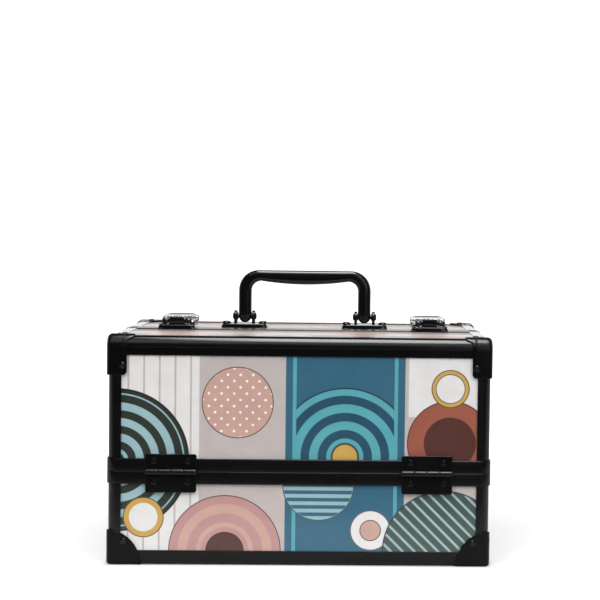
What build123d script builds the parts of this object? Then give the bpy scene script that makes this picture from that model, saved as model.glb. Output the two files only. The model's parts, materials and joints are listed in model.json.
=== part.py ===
from build123d import *
from math import atan2, degrees, hypot
import os

os.makedirs("parts", exist_ok=True)

# Double-opening cosmetic case in millimetres: X is the width, Y runs from front to back, Z is up from
# the floor. The front half is modelled and mirrored to the back, left pieces are mirrored to the right.

# Driving sizes of the closed case
case_width = 320.0
case_depth = 204.0
case_top = 191.0
split_height = 79.0
edge_radius = 8.0
base_edge_radius = 3.5

# Clearances
split_gap = 0.4
slot_fit = 0.1
running_fit = 0.05
side_fit = 0.3
cut_over = 5.0

# Walls: a panel held in the slots of extruded edge profiles
skin = 1.2
panel = 4.0
lip = 1.2
core = 8.0
post_leg = 11.2
bottom_leg = 11.3
top_outer_leg = 15.0
top_flat_leg = 12.0
seam_leg = 10.0
seam_slot_depth = 6.0
mat_thickness = 2.0

# Rim profiles along the parting line
rim_height = 10.5
rim_proud = 1.0
rim_web = 2.0
rim_groove_depth = 0.6
rim_groove_height = 0.8
rim_groove_shares = (0.3, 0.68)

# Corner protectors
foot_thickness = 1.0
foot_width = 27.0
foot_height = 27.5
foot_corner_radius = 15.0
cap_thickness = 0.8
cap_width = 15.5
cap_height = 31.5
cap_corner_radius = 3.4
cap_flange = 21.0
cap_flange_chamfer = 9.0
rivet_radius = 2.8
rivet_height = 0.9
rivet_sides = 12
rivet_taper = 30.0
foot_rivet_inset = 13.7
foot_rivet_rise = 19.9
cap_rivet_inset = 12.1
cap_rivet_drop = 23.5
flange_rivet_inset = 12.5

# Butt hinges on the rims
hinge_spread = 214.0
hinge_width = 42.5
hinge_upper_height = 14.7
hinge_lower_height = 17.6
hinge_radius = 2.4
hinge_stand_off = 0.2
hinge_pin_radius = 1.2
hinge_knuckles = 4
leaf_thickness = 1.2
leaf_root = 0.5
leaf_corner_radius = 2.0
leaf_hole_radius = 1.9
leaf_hole_spread = 28.0
leaf_hole_rise = 8.7

# Trays and the links that keep them level
tray_front_reach = 15.0
tray_back_gap = 3.0
tray_end_gap = 9.8
tray_height = 32.0
tray_pitch = 34.0
tray_rise = 8.0
tray_wall = 1.5
tray_corner_radius = 3.2
tray_divider = 1.4
tray_compartments = 3
tray_pivot_rise = 8.0
tray_pivot_reach = 20.0
anchor_reach = 22.0
anchor_drop = 4.0
link_gap = 0.8
link_thickness = 1.2
link_width = 9.0
stud_radius = 1.5
stud_head_radius = 2.6
stud_head = 0.7
stud_shoulder_radius = 3.0
head_fit = 0.1
shoulder_fit = 0.2

# Carry handle and its brackets on the back half lid
handle_width = 121.0
handle_rise = 40.0
handle_leg = 10.8
handle_depth = 10.5
handle_corner_radius = 18.0
handle_inner_radius = 9.0
handle_edge_chamfer = 2.4
grip_end_thickness = 8.3
grip_mid_thickness = 12.9
bracket_y = 32.0
bracket_width = 42.0
bracket_length = 18.0
bracket_plate = 1.8
bracket_corner_radius = 2.0
bracket_pivot_rise = 11.8
ear_gap = 13.7
ear_thickness = 2.6
ear_length = 10.2
handle_bolt_radius = 2.0
handle_bolt_head_radius = 3.3
handle_bolt_head = 1.5
bracket_screw_spread = 33.6
bracket_screw_radius = 4.2
bracket_screw_height = 2.2

# Draw latches across the seam
latch_spread = 226.0
latch_plate = 1.6
latch_setback = 1.5
keeper_width = 33.0
keeper_length = 10.5
keeper_corner_radius = 2.0
hook_width = 14.5
hook_height = 4.9
hook_thickness = 3.0
hook_back_gap = 4.0
hook_round = 1.0
latch_base_length = 22.0
cheek_thickness = 1.5
cheek_length = 10.0
cheek_height = 5.6
latch_pin_y = 12.0
latch_pin_rise = 5.2
latch_pin_radius = 1.2
lever_ear = 1.6
lever_ear_radius = 2.2
lever_width = 30.0
lever_plate = 1.4
lever_start = 9.0
lever_bend = 18.0
lever_end = 25.0
lever_lift = 0.8
lever_tip_lift = 2.4
lever_corner_radius = 6.0
loop_pivot_reach = 6.0
loop_pivot_drop = 1.0
loop_arm = 1.6
loop_bar_radius = 1.2
loop_eye_radius = 2.1
loop_hook_gap = 0.4

# Places worked out from the sizes above
half_width = case_width / 2
half_depth = case_depth / 2
panel_slot = skin + panel + slot_fit
wall = panel_slot + lip
base_top = split_height - split_gap / 2
lid_bottom = split_height + split_gap / 2
lid_seam = -split_gap / 2
panel_end = core + slot_fit
rim_panel_end = rim_web + slot_fit
band_face = half_depth + rim_proud
hinge_y = -(band_face + hinge_radius + hinge_stand_off)


# Box between two places along each axis
def span_box(x_span, y_span, z_span):
    spans = (x_span, y_span, z_span)
    middle = [(low + high) / 2 for low, high in spans]
    return Pos(*middle) * Box(*[high - low for low, high in spans])


# Straight extrusions of a closed outline along X, Y and Z
def prism_x(points, low, high):
    face = make_face(Polyline(*points, close=True))
    return Plane.YZ.offset(low) * extrude(face, amount=high - low)


def prism_y(points, low, high):
    face = make_face(Polyline(*points, close=True))
    return Pos(0, high, 0) * (Plane.XZ * extrude(face, amount=high - low))


def prism_z(points, low, high):
    face = make_face(Polyline(*points, close=True))
    return Pos(0, 0, low) * extrude(face, amount=high - low)


# Round bar along X between two places
def rod_x(x_span, y, z, radius):
    low, high = min(x_span), max(x_span)
    return Pos((low + high) / 2, y, z) * Rot(0, 90, 0) * Cylinder(radius, high - low)


def left_right(shape):
    return [shape, mirror(shape, about=Plane.YZ)]


def to_back(shapes):
    return [mirror(shape, about=Plane.XZ) for shape in shapes]


# One file per node, holding each of its solids
def save(node, *shapes):
    solids = [solid for shape in shapes for solid in shape.solids()]
    export_step(Compound(children=solids), f"parts/{node}.step")


# Outer form of the front half lid, moved in from its outside faces; the seam and parting faces stay
def lid_form(inset):
    side = half_width - inset
    form = span_box((-side, side), (inset - half_depth, lid_seam), (lid_bottom, case_top - inset))
    upright = form.edges().filter_by(Axis.Z).sort_by(Axis.Y)[:2]
    top = form.faces().sort_by(Axis.Z)[-1].edges().sort_by(Axis.Y)[:-1]
    return fillet(upright + top, edge_radius - inset)


# Outer form of the base, moved in from its outside faces; the parting face stays
def base_form(inset):
    side = half_width - inset
    end = half_depth - inset
    form = span_box((-side, side), (-end, end), (foot_thickness + inset, base_top))
    form = fillet(form.edges().filter_by(Axis.Z), edge_radius - inset)
    return fillet(form.faces().sort_by(Axis.Z)[0].edges(), base_edge_radius - inset)


# Outer form of the rims between two heights
def rim_form(low, high):
    form = span_box((-half_width - rim_proud, half_width + rim_proud), (-band_face, band_face), (low, high))
    return fillet(form.edges().filter_by(Axis.Z), edge_radius + rim_proud)


# Room of the front and of the left profiles, parted by mitres at the corners
def front_mitre():
    x_far = half_width + cut_over
    y_far = half_depth + cut_over
    x_near = half_width - half_depth
    points = [(-x_far, -y_far), (x_far, -y_far), (x_near, 0), (-x_near, 0)]
    return prism_z(points, -cut_over, case_top + cut_over)


def left_mitre(y_back):
    x_far = half_width + cut_over
    y_far = half_depth + cut_over
    x_near = half_width - half_depth
    points = [(-x_far, -y_far), (-x_near, 0), (-x_far, y_back)]
    return prism_z(points, -cut_over, case_top + cut_over)


# Section of an edge profile, in distances from its two outer faces: two panel slots round a solid corner
def profile_section(leg_on_first, leg_on_second):
    return [
        (0, 0), (0, leg_on_first), (skin, leg_on_first), (skin, core), (panel_slot, core),
        (panel_slot, leg_on_first), (wall, leg_on_first), (wall, wall), (leg_on_second, wall),
        (leg_on_second, panel_slot), (core, panel_slot), (core, skin), (leg_on_second, skin),
        (leg_on_second, 0),
    ]


# Section of a rim, in distances from the wall's outer face and from the mating face: a channel for the
# panel's edge, with shallow grooves along the outside
def rim_section():
    outer = [(-rim_proud, 0)]
    for share in rim_groove_shares:
        low = share * rim_height - rim_groove_height / 2
        high = share * rim_height + rim_groove_height / 2
        inner = rim_groove_depth - rim_proud
        outer += [(-rim_proud, low), (inner, low), (inner, high), (-rim_proud, high)]
    return outer + [
        (-rim_proud, rim_height), (skin, rim_height), (skin, rim_web), (panel_slot, rim_web),
        (panel_slot, rim_height), (wall, rim_height), (wall, 0),
    ]


# Front and left rims, upwards from the parting line for a lid and downwards for the base
def front_rim(mating, up):
    points = [(a - half_depth, mating + up * b) for a, b in rim_section()]
    low, high = sorted((mating, mating + up * rim_height))
    bar = prism_x(points, -half_width - rim_proud, half_width + rim_proud)
    return bar & rim_form(low, high) & front_mitre()


def left_rim(mating, up, y_back):
    points = [(a - half_width, mating + up * b) for a, b in rim_section()]
    low, high = sorted((mating, mating + up * rim_height))
    bar = prism_y(points, -band_face, y_back)
    return bar & rim_form(low, high) & left_mitre(max(y_back, 0))


# Low tapered head standing on a face: built upwards, then turned to the face
def rivet_head(radius, height):
    return extrude(RegularPolygon(radius, rivet_sides), amount=height, taper=rivet_taper)


def facing_front(x, y, z):
    return Pos(x, y, z) * Rot(90, 0, 0)


def facing_left(x, y, z):
    return Pos(x, y, z) * Rot(0, -90, 0)


# Base: floor and wall panels
def base_panels():
    inner = half_width - skin
    low = foot_thickness + panel_end
    high = base_top - rim_panel_end
    side = half_width - panel_end
    end = half_depth - panel_end
    front = span_box((-side, side), (skin - half_depth, skin + panel - half_depth), (low, high))
    left = span_box((-inner, panel - inner), (-end, end), (low, high))
    floor = span_box((-side, side), (-end, end), (foot_thickness + skin, foot_thickness + skin + panel))
    save("base_front_panel", front)
    save("base_back_panel", *to_back([front]))
    save("base_left_panel", left)
    save("base_right_panel", mirror(left, about=Plane.YZ))
    save("base_floor_panel", floor)
    mat_side = half_width - bottom_leg - side_fit
    mat_end = half_depth - bottom_leg - side_fit
    mat_low = foot_thickness + skin + panel
    mat = span_box((-mat_side, mat_side), (-mat_end, mat_end), (mat_low, mat_low + mat_thickness))
    save("base_floor_mat", fillet(mat.edges().filter_by(Axis.Z), tray_corner_radius))


# Base: rims, bottom profiles and corner posts
def base_frame():
    form = base_form(0)
    rim = front_rim(base_top, -1)
    save("base_front_rim", rim)
    save("base_back_rim", *to_back([rim]))
    end_half = left_rim(base_top, -1, 0)
    save("base_end_rims", *left_right(end_half + mirror(end_half, about=Plane.XZ)))
    section = profile_section(bottom_leg, bottom_leg)
    front_points = [(a - half_depth, foot_thickness + b) for a, b in section]
    left_points = [(a - half_width, foot_thickness + b) for a, b in section]
    front = prism_x(front_points, -half_width, half_width) & form & front_mitre()
    left = prism_y(left_points, -half_depth, 0) & form & left_mitre(0)
    left = left + mirror(left, about=Plane.XZ)
    save("base_bottom_profiles", front, *to_back([front]), *left_right(left))
    post_points = [(a - half_width, b - half_depth) for a, b in profile_section(post_leg, post_leg)]
    post = prism_z(post_points, foot_thickness + bottom_leg, base_top - rim_height) & form
    posts = left_right(post)
    save("base_corner_posts", *posts, *to_back(posts))


# Base: corner protectors, which are the feet, and their rivets
def base_corners():
    shell = base_form(-foot_thickness) - base_form(0)
    x_span = (-half_width - cut_over, foot_width - half_width)
    y_span = (-half_depth - cut_over, foot_width - half_depth)
    deep_x = (-half_width - cut_over, core - half_width)
    deep_y = (-half_depth - cut_over, core - half_depth)
    z_span = (-cut_over, foot_height)
    front = span_box(x_span, deep_y, z_span)
    front_corner = front.edges().filter_by(Axis.Y).sort_by(Axis.Z)[-2:].sort_by(Axis.X)[-1]
    left = span_box(deep_x, y_span, z_span)
    left_corner = left.edges().filter_by(Axis.X).sort_by(Axis.Z)[-2:].sort_by(Axis.Y)[-1]
    under = span_box(x_span, y_span, (-cut_over, foot_thickness + base_edge_radius))
    under_corner = under.edges().filter_by(Axis.Z).sort_by(Axis.Y)[-2:].sort_by(Axis.X)[-1]
    room = fillet(front_corner, foot_corner_radius) + fillet(left_corner, foot_corner_radius)
    room = room + fillet(under_corner, foot_corner_radius)
    corner = shell & room
    corners = left_right(corner)
    save("base_corner_protectors", *corners, *to_back(corners))
    head = rivet_head(rivet_radius, rivet_height)
    x_seat = foot_rivet_inset - half_width
    y_seat = foot_rivet_inset - half_depth
    front_seat = facing_front(x_seat, -half_depth - foot_thickness, foot_rivet_rise)
    left_seat = facing_left(-half_width - foot_thickness, y_seat, foot_rivet_rise)
    rivets = left_right(front_seat * head) + left_right(left_seat * head)
    save("base_rivets", *rivets, *to_back(rivets))


# Half lid: wall, top and end panels, shown from the front lid
def lid_panels():
    inner = half_width - skin
    side = half_width - panel_end
    low = lid_bottom + rim_panel_end
    high = case_top - panel_end
    back = -(seam_leg - seam_slot_depth) - slot_fit
    front = span_box((-side, side), (skin - half_depth, skin + panel - half_depth), (low, high))
    top = span_box((-side, side), (panel_end - half_depth, back), (case_top - skin - panel, case_top - skin))
    left = span_box((-inner, panel - inner), (panel_end - half_depth, back), (low, high))
    right = mirror(left, about=Plane.YZ)
    for name, shape in (("front", front), ("top", top), ("left", left), ("right", right)):
        save(f"front_lid_{name}_panel", shape)
    for name, shape in zip(("back", "top", "left", "right"), to_back([front, top, left, right])):
        save(f"back_lid_{name}_panel", shape)


# Half lid: rims, rounded edge profiles, corner posts and the arch along the seam
def lid_frame():
    form = lid_form(0)
    rim = front_rim(lid_bottom, 1)
    end_rims = left_right(left_rim(lid_bottom, 1, lid_seam))
    section = profile_section(top_outer_leg, top_flat_leg)
    front_points = [(a - half_depth, case_top - b) for a, b in section]
    left_points = [(a - half_width, case_top - b) for a, b in section]
    top = prism_x(front_points, -half_width, half_width) & form & front_mitre()
    ends = left_right(prism_y(left_points, -half_depth, -seam_leg) & form & left_mitre(0))
    post_points = [(a - half_width, b - half_depth) for a, b in profile_section(post_leg, post_leg)]
    posts = left_right(prism_z(post_points, lid_bottom + rim_height, case_top - top_outer_leg) & form)
    band = span_box(
        (-half_width - cut_over, half_width + cut_over),
        (-seam_leg, lid_seam),
        (lid_bottom + rim_height, case_top + cut_over),
    )
    slot_room = span_box(
        (-half_width - cut_over, half_width + cut_over),
        (-seam_leg - cut_over, seam_slot_depth - seam_leg),
        (0, case_top + cut_over),
    )
    slot = (lid_form(skin) - lid_form(panel_slot)) & slot_room
    seam = (form & band) - lid_form(wall) - slot
    nodes = (
        ("wall_rim", [rim]),
        ("end_rims", end_rims),
        ("top_profile", [top]),
        ("end_profiles", ends),
        ("corner_posts", posts),
        ("seam_frame", [seam]),
    )
    for name, shapes in nodes:
        save(f"front_lid_{name}", *shapes)
        save(f"back_lid_{name}", *to_back(shapes))


# Half lid: top corner protectors and their rivets
def lid_corners():
    shell = lid_form(-cap_thickness) - lid_form(0)
    x_out = -half_width - cut_over
    y_out = -half_depth - cut_over
    z_span = (case_top - cap_height, case_top + cut_over)
    front = span_box((x_out, cap_width - half_width), (y_out, core - half_depth), z_span)
    front_corner = front.edges().filter_by(Axis.Y).sort_by(Axis.Z)[:2].sort_by(Axis.X)[-1]
    left = span_box((x_out, core - half_width), (y_out, cap_width - half_depth), z_span)
    left_corner = left.edges().filter_by(Axis.X).sort_by(Axis.Z)[:2].sort_by(Axis.Y)[-1]
    flange_x = cap_flange - half_width
    flange_y = cap_flange - half_depth
    flange = prism_z(
        [
            (x_out, y_out), (flange_x, y_out), (flange_x, flange_y - cap_flange_chamfer),
            (flange_x - cap_flange_chamfer, flange_y), (x_out, flange_y),
        ],
        case_top - skin,
        case_top + cut_over,
    )
    room = fillet(front_corner, cap_corner_radius) + fillet(left_corner, cap_corner_radius) + flange
    caps = left_right(shell & room)
    head = rivet_head(rivet_radius, rivet_height)
    x_seat = cap_rivet_inset - half_width
    y_seat = cap_rivet_inset - half_depth
    z_seat = case_top - cap_rivet_drop
    front_seat = facing_front(x_seat, -half_depth - cap_thickness, z_seat)
    left_seat = facing_left(-half_width - cap_thickness, y_seat, z_seat)
    flange_rivet_x = flange_rivet_inset - half_width
    flange_rivet_y = flange_rivet_inset - half_depth
    flange_seat = Pos(flange_rivet_x, flange_rivet_y, case_top + cap_thickness)
    rivets = [seat * head for seat in (front_seat, left_seat, flange_seat)]
    rivets = [half for rivet in rivets for half in left_right(rivet)]
    save("front_lid_corner_protectors", *caps)
    save("back_lid_corner_protectors", *to_back(caps))
    save("front_lid_rivets", *rivets)
    save("back_lid_rivets", *to_back(rivets))


# Hinge leaf at the middle of the front: a plate on the rim with every second knuckle, up for the lid
def hinge_leaf(up, first_knuckle):
    step = hinge_width / hinge_knuckles
    reach = hinge_upper_height if up > 0 else hinge_lower_height
    plate = span_box(
        (-hinge_width / 2, hinge_width / 2),
        (-band_face - leaf_thickness, -band_face),
        sorted((split_height + up * leaf_root, split_height + up * reach)),
    )
    far_edges = plate.edges().filter_by(Axis.Y).sort_by(Axis.Z)
    leaf = fillet(far_edges[2:] if up > 0 else far_edges[:2], leaf_corner_radius)
    for number in range(hinge_knuckles):
        low = number * step - hinge_width / 2
        if number % 2 == first_knuckle:
            span = (low + running_fit, low + step - running_fit)
            leaf = leaf + rod_x(span, hinge_y, split_height, hinge_radius)
    for number in range(hinge_knuckles):
        low = number * step - hinge_width / 2
        if number % 2 != first_knuckle:
            span = (low - running_fit, low + step + running_fit)
            room = hinge_radius + side_fit
            room_z = (split_height - room, split_height + room)
            leaf = leaf - span_box(span, (-band_face - cut_over, -band_face), room_z)
    bore_span = (-hinge_width / 2 - cut_over, hinge_width / 2 + cut_over)
    leaf = leaf - rod_x(bore_span, hinge_y, split_height, hinge_pin_radius + running_fit)
    for x in (-leaf_hole_spread / 2, leaf_hole_spread / 2):
        hole = Cylinder(leaf_hole_radius, leaf_thickness + cut_over)
        leaf = leaf - facing_front(x, -band_face, split_height + up * leaf_hole_rise) * hole
    return leaf


def hinges():
    lid_leaf = hinge_leaf(1, 0)
    base_leaf = hinge_leaf(-1, 1)
    pin = rod_x((-hinge_width / 2, hinge_width / 2), hinge_y, split_height, hinge_pin_radius)
    places = [Pos(side * hinge_spread / 2, 0, 0) for side in (-1, 1)]
    lid_leaves = [place * lid_leaf for place in places]
    base_leaves = [place * base_leaf for place in places]
    pins = [place * pin for place in places]
    save("front_lid_hinge_leaves", *lid_leaves)
    save("back_lid_hinge_leaves", *to_back(lid_leaves))
    save("front_hinge_base_leaves", *base_leaves)
    save("back_hinge_base_leaves", *to_back(base_leaves))
    save("hinge_pins", *pins, *to_back(pins))


# Pivots of the tray mechanism, as places across the case: the tray pivots lie on one line through the
# hinge, and each link pivot lies from its tray pivot as the link's anchor lies from the hinge
def tray_pivot(level):
    rise = tray_rise + tray_pivot_rise
    share = (rise + level * tray_pitch) / rise
    return hinge_y + tray_pivot_reach * share, split_height + rise * share


def link_pivot(level):
    y, z = tray_pivot(level)
    return y + anchor_reach, z - anchor_drop


tray_end = half_width - tray_end_gap
link_inner = tray_end + link_gap
link_outer = link_inner + link_thickness
stud_bore = stud_radius + running_fit


# Tray of the front half lid: three pockets, bores for the lid's studs and headed studs for the links
def front_tray(level):
    low = split_height + tray_rise + level * tray_pitch
    y_span = (hinge_y + tray_front_reach, -tray_back_gap)
    tray = span_box((-tray_end, tray_end), y_span, (low, low + tray_height))
    tray = fillet(tray.edges().filter_by(Axis.Z), tray_corner_radius)
    pocket_room = 2 * tray_end - 2 * tray_wall - (tray_compartments - 1) * tray_divider
    pocket_width = pocket_room / tray_compartments
    for number in range(tray_compartments):
        x = -tray_end + tray_wall + number * (pocket_width + tray_divider)
        pocket = span_box(
            (x, x + pocket_width),
            (y_span[0] + tray_wall, y_span[1] - tray_wall),
            (low + tray_wall, low + tray_height + cut_over),
        )
        tray = tray - fillet(pocket.edges().filter_by(Axis.Z), tray_corner_radius - tray_wall)
    bore_y, bore_z = tray_pivot(level)
    tray = tray - rod_x((-half_width, half_width), bore_y, bore_z, stud_bore)
    stud_y, stud_z = link_pivot(level)
    head_low = link_outer + head_fit
    for side in (-1, 1):
        shaft = rod_x((side * (tray_end - tray_wall), side * head_low), stud_y, stud_z, stud_radius)
        head = rod_x((side * head_low, side * (head_low + stud_head)), stud_y, stud_z, stud_head_radius)
        tray = tray + shaft + head
    return tray


# Studs that the lid's end panels carry the trays on, for the left end
def tray_studs():
    studs = []
    for level in (0, 1):
        y, z = tray_pivot(level)
        panel_face = half_width - skin - panel
        shoulder_end = tray_end + shoulder_fit
        head_top = tray_end - tray_wall - shoulder_fit
        stud = rod_x((-panel_face, -shoulder_end), y, z, stud_shoulder_radius)
        stud = stud + rod_x((-shoulder_end, -head_top), y, z, stud_radius)
        stud = stud + rod_x((-head_top, stud_head - head_top), y, z, stud_head_radius)
        studs += left_right(stud)
    return studs


# Link strip of the left end, from its anchor on the base rim to the upper tray
def tray_link():
    anchor = (hinge_y + anchor_reach, split_height - anchor_drop)
    pivots = [anchor, link_pivot(0), link_pivot(1)]
    (y_low, z_low), (y_high, z_high) = pivots[0], pivots[-1]
    y_span = y_high - y_low
    z_span = z_high - z_low
    outline = Pos((y_low + y_high) / 2, (z_low + z_high) / 2) * Rot(0, 0, degrees(atan2(z_span, y_span)))
    strip = outline * SlotCenterToCenter(hypot(y_span, z_span), link_width)
    for y, z in pivots:
        strip = strip - Pos(y, z) * Circle(stud_bore)
    return Plane.YZ.offset(-link_outer) * extrude(strip, amount=link_thickness)


# Stud on the base rim that carries a link, for the left end
def link_stud():
    y = hinge_y + anchor_reach
    z = split_height - anchor_drop
    shoulder_end = link_outer + head_fit
    head_top = link_inner - head_fit
    stud = rod_x((wall - half_width, -shoulder_end), y, z, stud_head_radius)
    stud = stud + rod_x((-shoulder_end, -head_top), y, z, stud_radius)
    return stud + rod_x((-head_top, stud_head - head_top), y, z, stud_head_radius)


def trays():
    for level, name in enumerate(("lower", "upper")):
        tray = front_tray(level)
        save(f"front_{name}_tray", tray)
        save(f"back_{name}_tray", *to_back([tray]))
    studs = tray_studs()
    save("front_tray_studs", *studs)
    save("back_tray_studs", *to_back(studs))
    links = left_right(tray_link())
    save("front_tray_links", *links)
    save("back_tray_links", *to_back(links))
    anchors = left_right(link_stud())
    save("link_studs", *anchors, *to_back(anchors))


# Carry handle: a flat U outline with a grip that swells downwards, bevelled all along
def carry_handle():
    pivot_z = case_top - skin + bracket_pivot_rise
    outer = Pos(0, handle_rise / 2) * Rectangle(handle_width, handle_rise)
    outer = fillet(outer.vertices().sort_by(Axis.Y)[-2:], handle_corner_radius)
    inner_side = handle_width / 2 - handle_leg
    end_height = handle_rise - grip_end_thickness
    mid_height = handle_rise - grip_mid_thickness
    opening = Polyline(
        (-inner_side, end_height),
        (-inner_side, -cut_over),
        (inner_side, -cut_over),
        (inner_side, end_height),
    )
    underside = ThreePointArc((inner_side, end_height), (0, mid_height), (-inner_side, end_height))
    inner = make_face(opening + underside)
    inner = fillet(inner.vertices().sort_by(Axis.Y)[-2:], handle_inner_radius)
    outline = outer - inner
    leg_x = (handle_width - handle_leg) / 2
    for x in (-leg_x, leg_x):
        outline = outline + Pos(x, 0) * Circle(handle_leg / 2)
    body = Plane.XZ * extrude(outline, amount=handle_depth / 2, both=True)
    rounded = body.faces().filter_by(Axis.Y).edges()
    body = chamfer(rounded, handle_edge_chamfer)
    body = Pos(0, bracket_y, pivot_z) * body
    bore_span = (-handle_width / 2 - cut_over, handle_width / 2 + cut_over)
    save("carry_handle", body - rod_x(bore_span, bracket_y, pivot_z, handle_bolt_radius + running_fit))


# Handle brackets: a plate on the top panel with two ears, each with its bolt and screws
def handle_brackets():
    seat = case_top - skin
    pivot_z = seat + bracket_pivot_rise
    leg_x = (handle_width - handle_leg) / 2
    y_span = (bracket_y - bracket_length / 2, bracket_y + bracket_length / 2)
    plate = span_box((-bracket_width / 2, bracket_width / 2), y_span, (seat, seat + bracket_plate))
    bracket = fillet(plate.edges().filter_by(Axis.Z), bracket_corner_radius)
    ear_inner = ear_gap / 2
    ear_outer = ear_inner + ear_thickness
    for side in (-1, 1):
        x_span = sorted((side * ear_inner, side * ear_outer))
        ear_y = (bracket_y - ear_length / 2, bracket_y + ear_length / 2)
        ear = span_box(x_span, ear_y, (seat, pivot_z)) + rod_x(x_span, bracket_y, pivot_z, ear_length / 2)
        bracket = bracket + ear
    bore_span = (-ear_outer - cut_over, ear_outer + cut_over)
    bracket = bracket - rod_x(bore_span, bracket_y, pivot_z, handle_bolt_radius + running_fit)
    bolt = rod_x((-ear_outer, ear_outer), bracket_y, pivot_z, handle_bolt_radius)
    head = rivet_head(handle_bolt_head_radius, handle_bolt_head)
    head_seat = facing_left(-ear_outer, bracket_y, pivot_z)
    bolt = bolt + head_seat * head
    bolt = bolt + mirror(head_seat * head, about=Plane.YZ)
    screw = rivet_head(bracket_screw_radius, bracket_screw_height)
    screw_seats = [Pos(side * bracket_screw_spread / 2, bracket_y, seat + bracket_plate) for side in (-1, 1)]
    places = [Pos(side * leg_x, 0, 0) for side in (-1, 1)]
    save("handle_brackets", *[place * bracket for place in places])
    bolts = [place * bolt for place in places]
    screws = [place * screw_seat * screw for place in places for screw_seat in screw_seats]
    save("handle_bolts", *bolts, *screws)


latch_top = case_top + latch_plate
latch_pin_z = latch_top + latch_pin_rise - latch_plate
loop_y = latch_pin_y + loop_pivot_reach
loop_z = latch_pin_z - loop_pivot_drop
hook_front = -hook_back_gap - hook_thickness
loop_bar_y = hook_front - loop_hook_gap - loop_bar_radius
ear_outside = lever_width / 2 - cheek_thickness - side_fit - latch_pin_radius / 2
ear_inside = ear_outside - lever_ear
arm_outside = ear_inside - side_fit
arm_inside = arm_outside - loop_arm


# Keeper on the front half lid: a plate with an upright hook
def latch_keeper():
    y_span = (-latch_setback - keeper_length, -latch_setback)
    plate = span_box((-keeper_width / 2, keeper_width / 2), y_span, (case_top, latch_top))
    plate = fillet(plate.edges().filter_by(Axis.Z), keeper_corner_radius)
    x_span = (-hook_width / 2, hook_width / 2)
    hook = span_box(x_span, (hook_front, -hook_back_gap), (latch_top, latch_top + hook_height))
    hook_top = hook.faces().sort_by(Axis.Z)[-1].edges()
    return plate + fillet(hook_top, hook_round)


# Latch base on the back half lid: a plate with two cheeks and the stub pins of the lever
def latch_base():
    cheek_inside = ear_outside + side_fit
    cheek_outside = cheek_inside + cheek_thickness
    y_span = (latch_setback, latch_setback + latch_base_length)
    base = span_box((-cheek_outside, cheek_outside), y_span, (case_top, latch_top))
    base = fillet(base.edges().filter_by(Axis.Z), keeper_corner_radius)
    cheek_y = (latch_pin_y - cheek_length / 2, latch_pin_y + cheek_length / 2)
    for side in (-1, 1):
        x_span = sorted((side * cheek_inside, side * cheek_outside))
        cheek = span_box(x_span, cheek_y, (case_top, latch_top + cheek_height))
        tops = cheek.edges().filter_by(Axis.X).sort_by(Axis.Z)[-2:]
        base = base + fillet(tops, cheek_height / 2)
        pin_span = (side * ear_inside, side * cheek_inside)
        base = base + rod_x(pin_span, latch_pin_y, latch_pin_z, latch_pin_radius)
    return base


# Lever: two ears on the stub pins, a finger plate that lifts to its end, and the pins of the loop
def latch_lever():
    start = latch_pin_y + lever_start
    bend = latch_pin_y + lever_bend
    end = latch_pin_y + lever_end
    low = latch_pin_z + lever_lift
    tip = latch_pin_z + lever_tip_lift
    side_points = [
        (start, low), (bend, low), (end, tip), (end, tip + lever_plate),
        (bend, low + lever_plate), (start, low + lever_plate),
    ]
    plate = prism_x(side_points, -lever_width / 2, lever_width / 2)
    room = span_box((-lever_width / 2, lever_width / 2), (start, end), (case_top, tip + cut_over))
    corners = room.edges().filter_by(Axis.Z).sort_by(Axis.Y)[-2:]
    lever = plate & fillet(corners, lever_corner_radius)
    for side in (-1, 1):
        x_span = sorted((side * ear_inside, side * ear_outside))
        foot = latch_pin_z - lever_ear_radius
        ear = span_box(x_span, (latch_pin_y, bend), (foot, low))
        ear = ear + rod_x(x_span, latch_pin_y, latch_pin_z, lever_ear_radius)
        hole_radius = latch_pin_radius + running_fit
        ear = ear - rod_x((-lever_width, lever_width), latch_pin_y, latch_pin_z, hole_radius)
        lever = lever + ear + rod_x((side * arm_inside, side * ear_inside), loop_y, loop_z, latch_pin_radius)
    return lever


# Loop: a bar in front of the keeper's hook on two arms that turn on the lever's pins
def latch_loop():
    loop = rod_x((-arm_outside, arm_outside), loop_bar_y, loop_z, loop_bar_radius)
    for side in (-1, 1):
        x_span = sorted((side * arm_inside, side * arm_outside))
        arm = span_box(x_span, (loop_bar_y, loop_y), (loop_z - loop_bar_radius, loop_z + loop_bar_radius))
        arm = arm + rod_x(x_span, loop_y, loop_z, loop_eye_radius)
        loop = loop + arm
    return loop - rod_x((-lever_width, lever_width), loop_y, loop_z, latch_pin_radius + running_fit)


def latches():
    places = {"left": Pos(-latch_spread / 2, 0, 0), "right": Pos(latch_spread / 2, 0, 0)}
    save("latch_keepers", *[place * latch_keeper() for place in places.values()])
    save("latch_bases", *[place * latch_base() for place in places.values()])
    for name, place in places.items():
        save(f"{name}_latch_lever", place * latch_lever())
        save(f"{name}_latch_loop", place * latch_loop())


base_panels()
base_frame()
base_corners()
lid_panels()
lid_frame()
lid_corners()
hinges()
trays()
carry_handle()
handle_brackets()
latches()
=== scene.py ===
import bpy, bmesh, json, math
import numpy as np
from itertools import product
from mathutils import Matrix


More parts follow.
